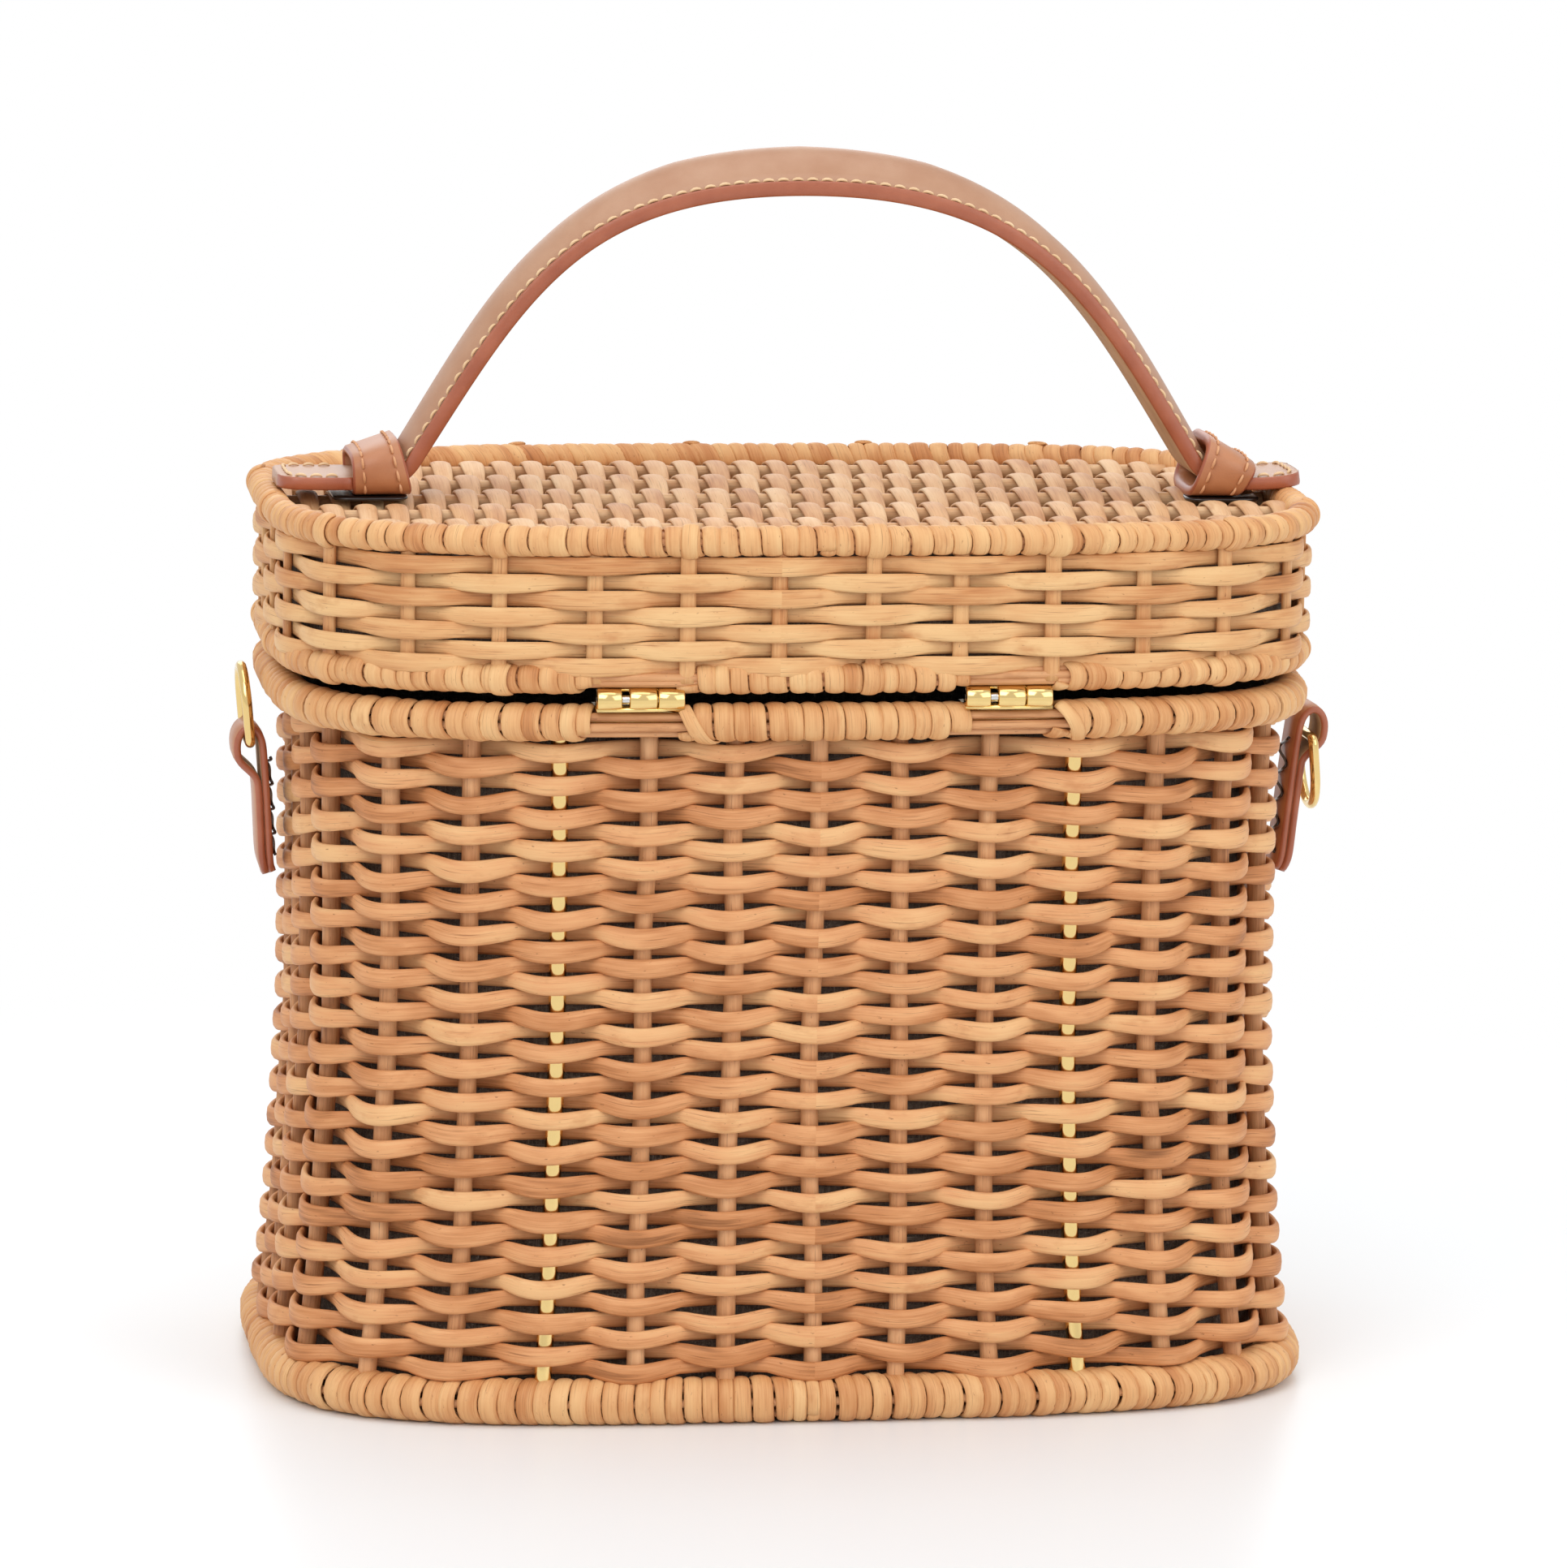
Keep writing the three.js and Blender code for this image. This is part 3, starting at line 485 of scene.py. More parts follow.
def weave_ring(piece, row, z, centre, swing_size, widths, thickness, droop, shift=0.0):
    """One weaver round the basket, over and under its stakes. centre(z) gives the stakes' offset.

    widths are the weaver's height over a stake, beside it and behind it.
    """
    over, beside, behind = widths
    count = STAKES * STEPS + 1
    u = np.linspace(0, 1, count) + shift / STAKES
    beat = np.linspace(0, STAKES, count)
    nearest = np.rint(beat).astype(int) % STAKES
    swing = np.cos(math.pi * (beat + row))
    front, back = np.maximum(swing, 0), np.maximum(-swing, 0)
    crown_droop = droop * rng.uniform(0.45, 1.5, STAKES)[nearest]
    crown_tall = rng.normal(1, 0.055, STAKES)[nearest]
    level = z + smooth_noise(count, STAKES // 2, 0.28) - crown_droop * front ** 1.3 - droop * 0.25 * back
    width = beside + (over * crown_tall - beside) * front ** 0.75 + (behind - beside) * back ** 0.75
    width = width * (1 + smooth_noise(count, STAKES, 0.03))
    path, out = around_path(u, centre(level) + swing_size * swing, level)
    tone = np.clip(rng.uniform(0.0, 1.0) + smooth_noise(count, STAKES, 0.17), 0, 1)
    tone[-1] = tone[0]
    piece.strand(path, out, WEAVER, width, thickness * rng.uniform(0.92, 1.08), tone, closed=True)


def body_centre(z):
    return waist(z) - WEAVER_T / 2 - (STAKE_R + WEAVER_T / 2)


def build_body_weave():
    pitch = (WALL_HIGH - WALL_LOW) / BODY_ROWS
    groups = np.array_split(np.arange(BODY_ROWS), 3)
    swing = STAKE_R + WEAVER_T / 2
    for index, rows in enumerate(groups):
        piece = Piece(f"body_weavers_{index}")
        for row in rows:
            z = WALL_LOW + (row + 0.5) * pitch
            weave_ring(piece, row, z, body_centre, swing, BODY_WIDTHS, WEAVER_T, 0.95)
        piece.build(body_cane, "basket", "weave", ["side_wall"])
    stakes = Piece("body_stakes")
    for i in range(STAKES):
        if i in ROD_STAKES:
            continue
        z = np.linspace(STAKE_LOW, STAKE_HIGH, 60)
        u = np.full(60, i / STAKES + rng.normal(0, 0.0006))
        wobble = smooth_noise(60, 6, 0.0006)
        path, out = around_path(u + wobble, body_centre(z), z)
        stakes.strand(path, out, ROUND, 2 * STAKE_R * rng.uniform(0.95, 1.05), 2 * STAKE_R,
                      rng.uniform(0.2, 0.9))
    stakes.build(stake_cane, "basket", "weave")
    for name, i in zip(["back_right", "back_left", "front_right", "front_left"], ROD_STAKES):
        rod = Piece(f"rod_{name}")
        z = np.linspace(ROD_LOW, ROD_HIGH, 80)
        path, out = around_path(np.full(80, i / STAKES), body_centre(z), z)
        rod.strand(path, out, circle(24), ROD_WIDTH, ROD_WIDTH)
        rod.build(brass, "basket", "brass", [f"frame_rod_{name}"])


LID_LOW, LID_HIGH = 188.2, 217.3
LID_ROWS = 7
LID_STAKE_W, LID_STAKE_T = 3.9, 1.9
LID_STAKE_LOW, LID_STAKE_HIGH = 186, 219.5
LID_T = 1.5
LID_OUTER = -0.4
LID_WIDTHS = (4.75, 4.05, 4.2)
LID_SWING = (LID_STAKE_T + LID_T) / 2


def lid_centre(z):
    """The lid's wall is upright, so its stakes have one offset at every height z."""
    return np.full(np.shape(z), LID_OUTER - LID_T / 2 - LID_SWING)


def build_lid_weave():
    pitch = (LID_HIGH - LID_LOW) / LID_ROWS
    piece = Piece("lid_weavers")
    for row in range(LID_ROWS):
        z = LID_LOW + (row + 0.5) * pitch
        weave_ring(piece, row, z, lid_centre, LID_SWING, LID_WIDTHS, LID_T, 0.12, shift=0.5)
    piece.build(lid_cane, "lid", "weave", ["lid_wall"])
    stakes = Piece("lid_stakes")
    for i in range(STAKES):
        u = (i + 0.5) / STAKES + rng.normal(0, 0.0006)
        z = np.linspace(LID_STAKE_LOW, LID_STAKE_HIGH, 14)
        path, out = around_path(np.full(14, u), lid_centre(z), z)
        width = LID_STAKE_W * rng.uniform(0.92, 1.05)
        stakes.strand(path, out, WEAVER, width, LID_STAKE_T, rng.uniform(0.1, 0.7))
    stakes.build(lid_cane, "lid", "weave")


# -------- rims bound with cane

HINGE_X = 45.7
HINGE_HALF = 12.2
WRAP_T, WRAP_PROUD, WRAP_START = 1.2, 0.15, 0.6
FOLD_T = 0.9
CORE_DEPTH, CORE_WIDTH = 2.15, 2.2
# height and offset of the centre, radius across, radius upright, and the width of the binding strip
RIMS = {"base_rim": (5.7, -4.1, 5.7, 5.7, 4.3), "body_rim": (176, -5.5, 4.7, 4.7, 4.6),
        "skirt_rim": (187.0, -4.4, 3.6, 3.7, 4.4), "top_rim": (221, -3.2, 3.7, 3.7, 4.6)}


def hinge_shares():
    """Shares of the outline covered by the two hinges at the back."""
    found = []
    for side in (1, -1):
        x = plan(np.linspace(0, 0.25, 4001) * side, -5)[:, 0]
        inside = np.linspace(0, 0.25, 4001)[np.abs(np.abs(x) - HINGE_X) < HINGE_HALF] * side
        found.append((inside.min(), inside.max()))
    return found


def wrap_rim(piece, rim, start, end):
    """Winds a cane strip round a rim from share start to share end."""
    z, offset, radius, tall, width = rim
    turns = max(2, int(round((end - start) * (AROUND + 20) / width)))
    per = 16
    widths = rng.uniform(0.78, 1.25, turns)
    edges = np.concatenate([[0], np.cumsum(widths)]) / widths.sum()
    t = np.linspace(0, turns, turns * per + 1)
    angle = TURN * t - WRAP_START
    passed = t - 0.8 * np.sin(angle) / TURN
    share = start + (end - start) * np.interp(passed, np.arange(turns + 1), edges)
    lift = 1 + smooth_noise(len(t), turns, 0.025)
    away = offset + (radius - WRAP_T / 2 + WRAP_PROUD) * lift * np.cos(angle)
    height = z + (tall - WRAP_T / 2 + WRAP_PROUD) * lift * np.sin(angle)
    path = np.column_stack([plan(share, away), height])
    out = plan_normal(share)
    out = np.column_stack([out * np.cos(angle)[:, None], np.sin(angle)])
    strip = np.interp(t, np.arange(turns) + 0.5, widths) * width * 0.98
    tone = np.interp(t, np.arange(turns) + 0.5, np.clip(rng.normal(0.55, 0.27, turns), 0, 1))
    piece.strand(path, unit(out), DOMED, strip, WRAP_T, tone)


def fold_bands(piece, rim, shares, low, high, width=4.4, slant=0.0):
    """Flat strands laid across a rim, on its binding, from angle low to angle high in degrees."""
    z, offset, radius = rim[:3]
    angle = np.radians(np.linspace(low, high, 22))
    reach = radius + 0.35
    for share in shares:
        u = share + rng.normal(0, 0.0006) + slant * np.linspace(-0.5, 0.5, 22)
        path = np.column_stack([plan(u, offset + reach * np.cos(angle)), z + reach * np.sin(angle)])
        out = np.column_stack([plan_normal(u) * np.cos(angle)[:, None], np.sin(angle)])
        width_here = width * rng.uniform(0.9, 1.1)
        piece.strand(path, unit(out), DOMED, width_here, FOLD_T, rng.uniform(0.35, 0.9))


def bundle_rim(piece, rim, angles):
    """Core strands that run inside the binding, round the wire hoop."""
    z, offset, radius, tall = rim[:4]
    reach = (radius + tall) / 2 - CORE_DEPTH
    u = np.linspace(0, 1, 201)
    for degrees in angles:
        a = math.radians(degrees)
        path, out = around_path(u, offset + reach * math.cos(a), z + reach * math.sin(a))
        piece.strand(path, out, circle(8), CORE_WIDTH, CORE_WIDTH, rng.uniform(0.3, 0.8), closed=True)


def build_rim(name, body, stands_for, hinged=0, folds=()):
    """hinged is 1 or -1 where the hinges interrupt the binding, above or below their pins."""
    rim = RIMS[name]
    core = Piece(f"{name}_core")
    angles = [hinged * a for a in (-40, 20, 80, 140, 200)] if hinged else range(0, 360, 60)
    bundle_rim(core, rim, angles)
    core.build(stake_cane, body, "binding")
    wraps = Piece(f"{name}_wraps")
    for run in folds:
        fold_bands(wraps, rim, **run)
    spans = [(0, 1)]
    if hinged:
        (a0, a1), (b0, b1) = sorted(hinge_shares())
        spans = [(a1, b0), (b1, 1 + a0)]
    for start, end in spans:
        wrap_rim(wraps, rim, start, end)
    wraps.build(rim_cane, body, "binding", [stands_for])


def build_rims():
    odd = (np.arange(1, STAKES, 2) + 0.5) / STAKES
    clear = [u for u in odd if all(not a - 0.006 < (u if u < 0.5 else u - 1) < b + 0.006
                                   for a, b in hinge_shares())]
    top_folds = {"shares": odd, "low": -75, "high": 85}
    skirt_folds = {"shares": clear, "low": 75, "high": -95}
    ties = [{"shares": [a - 0.004], "low": -120, "high": 60, "width": 3.6, "slant": 0.011}
            for a, b in hinge_shares()]
    build_rim("base_rim", "basket", "base_rim")
    build_rim("body_rim", "basket", "body_rim", hinged=-1, folds=ties)
    build_rim("skirt_rim", "lid", "lid_skirt_rim", hinged=1, folds=[skirt_folds])
    build_rim("top_rim", "lid", "lid_top_rim", folds=[top_folds])


# -------- flat woven panels

STRIP_NARROW, STRIP_WIDE, STRIP_PITCH = 3.9, 5.4, 4.0
PANEL_RODS = [-58.6, -31.2, -3.8, 23.6, 51]


def reach_at(place, along, across):
    """How far the outline of half sizes along and across reaches across, at place along it."""
    share = np.clip(np.abs(place) / along, 0, 1)
    return across * (1 - share ** CORNER) ** (1 / CORNER)


def woven_panel(name, body, z, offset, rod_r, thickness, up, stands_for):
    """Rods along X with flat strips woven over and under them along Y. up is the seen side."""
    wide, deep = HALF_WIDTH + offset, HALF_DEPTH + offset
    rod_piece = Piece(f"{name}_rods")
    for y in PANEL_RODS:
        half = reach_at(y, deep, wide)
        x = np.linspace(-half, half, 60)
        path = np.column_stack([x, y + smooth_noise(60, 5, 0.3), np.full(60, z)])
        rod_piece.strand(path, facing((0, 0, 1), 60), circle(10), 2 * rod_r, 2 * rod_r,
                         rng.uniform(0.5, 0.9))
    rod_piece.build(top_cane, body, "weave")
    strips = Piece(f"{name}_strips")
    gap = PANEL_RODS[1] - PANEL_RODS[0]
    columns = int(wide / STRIP_PITCH)
    for column in range(-columns, columns + 1):
        x = column * STRIP_PITCH
        half = reach_at(x, wide, deep)
        if half < 8:
            continue
        count = max(10, int(half * 2 / 1.9))
        y = np.linspace(-half, half, count)
        beat = (y - PANEL_RODS[0]) / gap
        swing = np.cos(math.pi * (beat + column)) * up
        front = np.maximum(swing * up, 0)
        rise = (rod_r + thickness / 2) * swing
        edge = np.clip((half - np.abs(y)) / 7, 0, 1)
        rise = rise * edge + (edge - 1) * 0.4
        width = STRIP_NARROW + (STRIP_WIDE * rng.normal(1, 0.05) - STRIP_NARROW) * front ** 0.7
        path = np.column_stack([x + smooth_noise(count, 6, 0.25), y, z + rise])
        tone = np.clip(rng.uniform(0.1, 0.95) + smooth_noise(count, 8, 0.15), 0, 1)
        strips.strand(path, facing((0, 0, 1), count), DOMED, width, thickness, tone)
    strips.build(top_cane, body, "weave", [stands_for])


def build_panels():
    woven_panel("lid_top", "lid", 219.5, -6.8, 2.1, 1.2, 1, "lid_top_panel")
    woven_panel("base", "basket", 5.5, -10.2, 1.6, 0.9, -1, "base_panel")


# -------- lining

LINING_FLOOR, LINING_FOOT = 8.6, -10.6
# the body lining's top edge leaves the wall and turns out to the rim: heights, and how far it turns
LINING_BRIM = ([WALL_HIGH, 173.6, 176.6], [0, 1.5, 5.0])
LID_LINING_LOW, LID_LINING_TOP = 191.0, 215.2


def lining_wall(name, offset_at, levels, body, node_name):
    """A skin round the inside, from the first level to the last."""
    piece = Piece(name)
    u = np.linspace(0, 1, 241)[:-1]
    rows = []
    for z in levels:
        pucker = smooth_noise(240, 60, 0.18)
        rows.append(np.column_stack([plan(u, offset_at(z) + pucker), np.full(240, z)]))
    points = np.array(rows)
    piece.grid(points)
    made = piece.build(linen_painted_shade, body, "lining", [node_name])
    profile = np.array([[offset_at(z), z] for z in levels])


def lining_flat(name, z, offset, body, node_name):
    piece = Piece(name)
    u = np.linspace(0, 1, 161)[:-1]
    edge = plan(u, offset)
    rows = []
    for share in np.linspace(1, 0.004, 14):
        rows.append(np.column_stack([edge * share, z + smooth_noise(160, 24, 0.12)]))
    points = np.array(rows)
    piece.grid(points)
    made = piece.build(linen_painted_shade, body, "lining", [node_name])


def build_lining():
    inside = 2 * (STAKE_R + WEAVER_T) + 0.4

    def body_offset(z):
        return min(waist(z) - inside + np.interp(z, *LINING_BRIM), LINING_FOOT)

    def lid_offset(z):
        return LID_OUTER - (2 * (LID_SWING + LID_T / 2) + 0.6)

    levels = [*np.linspace(LINING_FLOOR, WALL_HIGH, 16), 172.4, 173.6, 175.2, 176.6]
    lining_wall("body_lining_wall", body_offset, levels, "basket", "body_lining")
    lining_flat("body_lining_floor", LINING_FLOOR, LINING_FOOT, "basket", "body_lining")
    levels = np.linspace(LID_LINING_LOW, LID_LINING_TOP, 16)
    lining_wall("lid_lining_wall", lid_offset, levels, "lid", "lid_lining")
    lining_flat("lid_lining_top", LID_LINING_TOP, lid_offset(LID_LINING_TOP), "lid", "lid_lining")


# -------- leather handle

STRAP_CENTRE_X = -4
STRAP_ENDS = {1: 132.4, -1: 129.4}
TIP_LIFT = {1: 0.3, -1: 1.2}
STRAP_W, STRAP_EDGE, HEAD_W, HEAD_EDGE = 23.0, 3.8, 26.0, 3.2
HEAD_BOTTOM = 225.0
HEAD_DROP = {1: 0.0, -1: 0.8}
CROWN_Z, ARCH_END_Z, ARCH_SLOPE = 303.8, 244.0, math.radians(57.8)
ARCH_END_X = {1: 94.5, -1: 96.6}
CROWN_PULL, END_PULL = 55.0, 43.0


STRAP_DROP = 5.0  # from the arch's drawn line to the strap's underside
HANDLE_BEND = (0.228, 0.256)
STITCH_PITCH, STITCH_LENGTH, STITCH_RADIUS = 3.7, 3.0, 0.42


def bezier(points, t):
    """Points at shares t of a Bezier curve."""
    p = [np.array(q, float) for q in points]
    t = t[:, None]
    while len(p) > 1:
        p = [a * (1 - t) + b * t for a, b in zip(p, p[1:])]
    return p[0]


def strap_half(side):
    """Line of the strap's underside from the crown out to one head, as (x, z)."""
    ex, ez = ARCH_END_X[side], ARCH_END_Z
    pull = (ex - END_PULL * math.cos(ARCH_SLOPE), ez + END_PULL * math.sin(ARCH_SLOPE))
    arch = bezier([(0, CROWN_Z), (CROWN_PULL, CROWN_Z), pull, (ex, ez)], np.linspace(0, 1, 60))
    lower = arch - plane_normal(arch) * STRAP_DROP
    last = lower[-1]
    corner_x = last[0] + (last[1] - HEAD_BOTTOM) / math.tan(ARCH_SLOPE)
    corner = np.array([corner_x, HEAD_BOTTOM])
    before = corner + 7 * unit(last - corner)
    after = corner + np.array([7, 0])
    bend = bezier([before, corner, after], np.linspace(0, 1, 10))
    tip_x = np.linspace(after[0], STRAP_ENDS[side], 14)[1:]
    curl = np.clip(1 - (STRAP_ENDS[side] - tip_x) / 12, 0, 1) ** 1.6
    tip = np.column_stack([tip_x, HEAD_BOTTOM + TIP_LIFT[side] * curl - HEAD_DROP[side]])
    line = np.vstack([lower, bend, tip])
    line[:, 0] *= side
    return line


def strap_line():
    left, right = strap_half(-1), strap_half(1)
    line = np.vstack([left[::-1], right[1:]])
    line[:, 0] += STRAP_CENTRE_X
    run = run_length(line)
    fine = np.linspace(0, 6, 9)
    s = np.concatenate([fine, np.arange(7.2, run[-1] - 7, 1.2), run[-1] - fine[::-1]])
    x, z = at_length(s, run, line).T
    path = np.column_stack([x, 0 * x, z])
    out = np.insert(plane_normal(path[:, [0, 2]]), 1, 0, axis=1)
    return s, run[-1], path, out


def strap_width(s, total, x):
    away = np.minimum(s, total - s)
    centre = np.abs(x - STRAP_CENTRE_X)
    width = np.interp(centre, [112.5, 114.5], [STRAP_W, HEAD_W])
    corner = 6.0
    d = np.clip(corner - away, 0, corner)
    return width - 2 * (corner - np.sqrt(corner ** 2 - d ** 2)) * 0.97


def strap_dome(x):
    centre = np.abs(x - STRAP_CENTRE_X)
    return np.interp(centre, [0, 30, 60, 90, 103, 112, 118], [7.7, 6.9, 4.2, 2.9, 2.4, 1.0, 0.0])


def strap_edge(x):
    """Height of the painted edges, which thin down at the heads."""
    return np.interp(np.abs(x - STRAP_CENTRE_X), [96, 112], [STRAP_EDGE, HEAD_EDGE])


def strap_profile(width, dome, edge):
    """Section of the strap: flat underside, painted edges and a stuffed, stitched-down dome."""
    half = width / 2
    a = np.linspace(1, -1, 19)
    swell = np.clip(1 - (np.abs(a) * half / max(half - 1.6, 1)) ** 2, 0, 1) ** 0.8
    seam = 0.25 * np.exp(-((np.abs(a) * half - (half - 1.7)) / 0.6) ** 2)
    top = np.column_stack([a * (half - 0.35), edge + dome * swell - seam])
    bottom = [(-half + 0.4, 0), (-half / 3, 0), (half / 3, 0), (half - 0.4, 0)]
    right = [(half, 0.45), (half, edge - 0.4)]
    left = [(-half, edge - 0.4), (-half, 0.45)]
    return np.array(bottom + right + top.tolist() + left)


STRAP_BANDS = [2, 2, 2] + [1, 1, 1] + [0] * 18 + [1, 1, 1]


def stitch_run(piece, path, out, pitch=STITCH_PITCH, length=STITCH_LENGTH, radius=STITCH_RADIUS):
    """Thread stitches laid end to end along a line on a surface."""
    run = run_length(path)
    count = int(run[-1] / pitch)
    for i in range(count):
        s = (i + 0.5) * run[-1] / count + np.array([-0.5, -0.36, -0.12, 0.12, 0.36, 0.5]) * length
        points, up = at_length(s, run, path), unit(at_length(s, run, out))
        rise = np.array([-0.5, 0.35, 0.8, 0.8, 0.35, -0.5]) * radius
        size = np.array([0.5, 1.6, 2.0, 2.0, 1.6, 0.5]) * radius
        piece.strand(points + up * rise[:, None], up, circle(6), size, size)


def build_handle():
    s, total, path, out = strap_line()
    widths, domes = strap_width(s, total, path[:, 0]), strap_dome(path[:, 0])
    edges = strap_edge(path[:, 0])
    sections = np.array([strap_profile(*values) for values in zip(widths, domes, edges)])
    strap = Piece("handle_leather")
    strap.sweep(path, out, sections, bands=STRAP_BANDS)
    # The grain side takes the paler copy of the tan leather, a painted sheen.
    made = strap.build([strap_leather_painted_sheen, edge_paint, flesh])
    bend(made, ("lid", "handle"), HANDLE_BEND, ["handle_strap", "handle_end_left", "handle_end_right"])
    seams = Piece("handle_stitches")
    centre = np.abs(path[:, 0] - STRAP_CENTRE_X)
    arch = centre < 101
    for hand in (-1, 1):
        line = path[arch] + out[arch] * (STRAP_EDGE + 0.1)
        line[:, 1] += hand * (widths[arch] / 2 - 1.5)
        stitch_run(seams, line, out[arch])
    for side in (-1, 1):
        tip = STRAP_CENTRE_X + side * STRAP_ENDS[side]
        inset, corner = 2.6, 4.0
        x0, x1 = STRAP_CENTRE_X + side * 117, tip - side * inset
        a = np.linspace(0, math.pi / 2, 7)
        half = HEAD_W / 2 - inset
        bend_x = x1 - side * corner * (1 - np.sin(a))
        bend_y = half - corner * (1 - np.cos(a))
        xs = np.concatenate([[x0], bend_x, bend_x[::-1], [x0]])
        ys = np.concatenate([[half], bend_y, -bend_y[::-1], [-half]])
        order = np.argsort(path[:, 0])
        under = np.interp(xs, path[order, 0], path[order, 2])
        line = np.column_stack([xs, ys, under + HEAD_EDGE + 0.1])
        stitch_run(seams, line, facing((0, 0, 1), len(xs)))
    bend(seams.build(thread), ("lid", "handle"), HANDLE_BEND)


KEEPER_WIDTH, KEEPER_T = 27.6, 1.7
KEEPER_FOOT = {1: 223.0, -1: 221.9}
KEEPER_X = 109
# inner end at the foot and at the top, outer end at the foot and at the top, then the two heights
KEEPERS = {1: (94.4, 98.4, 109.6, 110.2, 15.0, 10.8), -1: (103.4, 109.0, 116.4, 121.6, 16.1, 8.7)}


def keeper_loop(inset=0.0):
    """Closed loop in the YZ plane, 10 high from z = 0."""
    a = np.linspace(0, TURN, 73) - math.pi / 2
    c, s = np.cos(a), np.sin(a)
    power = 2 / 3.6
    y = (KEEPER_WIDTH / 2 - inset) * signed_power(c, power)
    z = 5 + (5 - inset) * signed_power(s, power)
    return y, z


def build_keepers():
    for name, side in (("left", -1), ("right", 1)):
        foot_in, top_in, foot_out, top_out, tall_in, tall_out = KEEPERS[side]

        def warp(points):
            """Sets a loop of unit length to its slanting ends and its two heights."""
            share, z = points[..., 0], points[..., 2]
            level = z / 10
            start = foot_in + (top_in - foot_in) * level
            finish = foot_out + (top_out - foot_out) * level
            moved = np.array(points)
            moved[..., 0] = side * (start + (finish - start) * share)
            moved[..., 2] = KEEPER_FOOT[side] + level * (tall_in + (tall_out - tall_in) * share)
            return moved

        y, z = keeper_loop(KEEPER_T / 2)
        path = np.column_stack([np.full(len(y), 0.5), y, z])
        radial = np.column_stack([0 * y, y, (z - 5) * 2])
        half, t, soft = 0.5, KEEPER_T / 2, 0.04
        rim = np.array([(-half + soft, t), (-half, t - 0.5), (-half, -t + 0.5), (-half + soft, -t),
                        (half - soft, -t), (half, -t + 0.5), (half, t - 0.5), (half - soft, t)])
        loop = Piece(f"keeper_{name}")
        loop.sweep(path, unit(radial), np.tile(rim[None], (len(path), 1, 1)), closed=True,
                   bands=[1, 1, 1, 0, 1, 1, 1, 0], warp=warp)
        made = loop.build([tan_leather, edge_paint], "lid", "leather", [f"handle_keeper_{name}"])
        recalculate(made)
        seams = Piece(f"keeper_stitches_{name}")
        y, z = keeper_loop(-0.08)
        keep = (z > 0.8) & (np.arange(len(y)) > 3) & (np.arange(len(y)) < 69)
        for share in (0.19, 0.80):
            line = warp(np.column_stack([np.full(keep.sum(), share), y[keep], z[keep]]))
            stitch_run(seams, line, unit(np.column_stack([0 * y, y, z - 5]))[keep],
                       3.6, 3.1, 0.36)
        seams.build(warm_thread, "lid", "leather")
        middle = (STRAP_CENTRE_X + side * KEEPER_X, 0, KEEPER_FOOT[side] - 0.45)
        pad = rounded_slab(f"keeper_pad_{name}_leather", (19, 23, 1.0), middle, dark_backing)
        settle(pad, "lid", [f"keeper_pad_{name}"])


def rounded_slab(name, size, centre, material, axis="Z", corner=4.0):
    """A flat plate with rounded corners and softened edges, facing axis."""
    wide, deep, thick = size
    a = np.linspace(0, math.pi / 2, 7)
    ring = []
    for qx, qy, turn in ((1, 1, 0), (-1, 1, 1), (-1, -1, 2), (1, -1, 3)):
        ang = a + turn * math.pi / 2
        ring.append(np.column_stack([qx * (wide / 2 - corner) + corner * np.cos(ang),
                                     qy * (deep / 2 - corner) + corner * np.sin(ang)]))
    ring = np.vstack(ring)
    soft = min(0.5, thick / 3)
    levels = [(-thick / 2, 3), (-thick / 2, soft), (-thick / 2 + soft, 0), (thick / 2 - soft, 0),
              (thick / 2, soft), (thick / 2, 3)]
    rows = []
    for level, inset in levels:
        shrink = 1 - 2 * inset / np.array([wide, deep])
        rows.append(np.column_stack([ring * shrink, np.full(len(ring), level)]))
    points = np.array(rows)
    if axis == "Y":
        points = points[..., [0, 2, 1]] * np.array([1, -1, 1])
    piece = Piece(name)
    count = len(ring)
    fan = np.arange(1, count - 1)
    top = np.column_stack([fan * 0, fan, fan + 1]) + 5 * count
    bottom = np.column_stack([fan * 0, fan + 1, fan])
    piece.grid(points + np.array(centre), np.vstack([top, bottom]))
    return piece.build(material)


# -------- side tabs and D-rings

TAB_W, TAB_T = 15.0, 1.8
TAB_LENGTH, TAB_ROUND = 96, 6  # length of the folded strip, and how much of each end is rounded
LACE_WIDTH, LACE_TURNS, LACE_REACH = 0.8, 4, 4.6
LEATHER_BANDS = [2, 1, 1, 1, 0, 0, 1, 1, 1]  # flesh side below, painted edges, grain side above
# foot out from the middle, lean in degrees, height, top level and the ring bar's place along it
SIDE_TABS = {-1: (129.8, 6.3, 44.3, 168.0, 36.2), 1: (128.4, 3.4, 39.1, 165.1, 34.6)}
RING_R, RING_HALF, RING_HEIGHT, RING_CORNER = 1.3, 9.3, 18.5, 1.8
RING_LEAN = {-1: 175.2, 1: 5.3}
BAR_U, POCKET_BELOW = 4.4, 6.2


def leather_rim(flat, edge, t, bevel, crown):
    """Section of a strip: flat to half width flat, edges at half width edge, half thickness t."""
    right = [(flat, -t), (edge, -t + bevel), (edge, t - bevel), (flat, t)]
    left = [(-flat, t), (-edge, t - bevel), (-edge, -t + bevel)]
    return np.array([(-flat, -t), *right, (0, t + crown), *left])


def tab_place(side, u, v):
    foot_x, lean, height, top, _ = SIDE_TABS[side]
    c, s = math.cos(math.radians(lean)), math.sin(math.radians(lean))
    return side * (foot_x + u * c + v * s), top - height * c - u * s + v * c


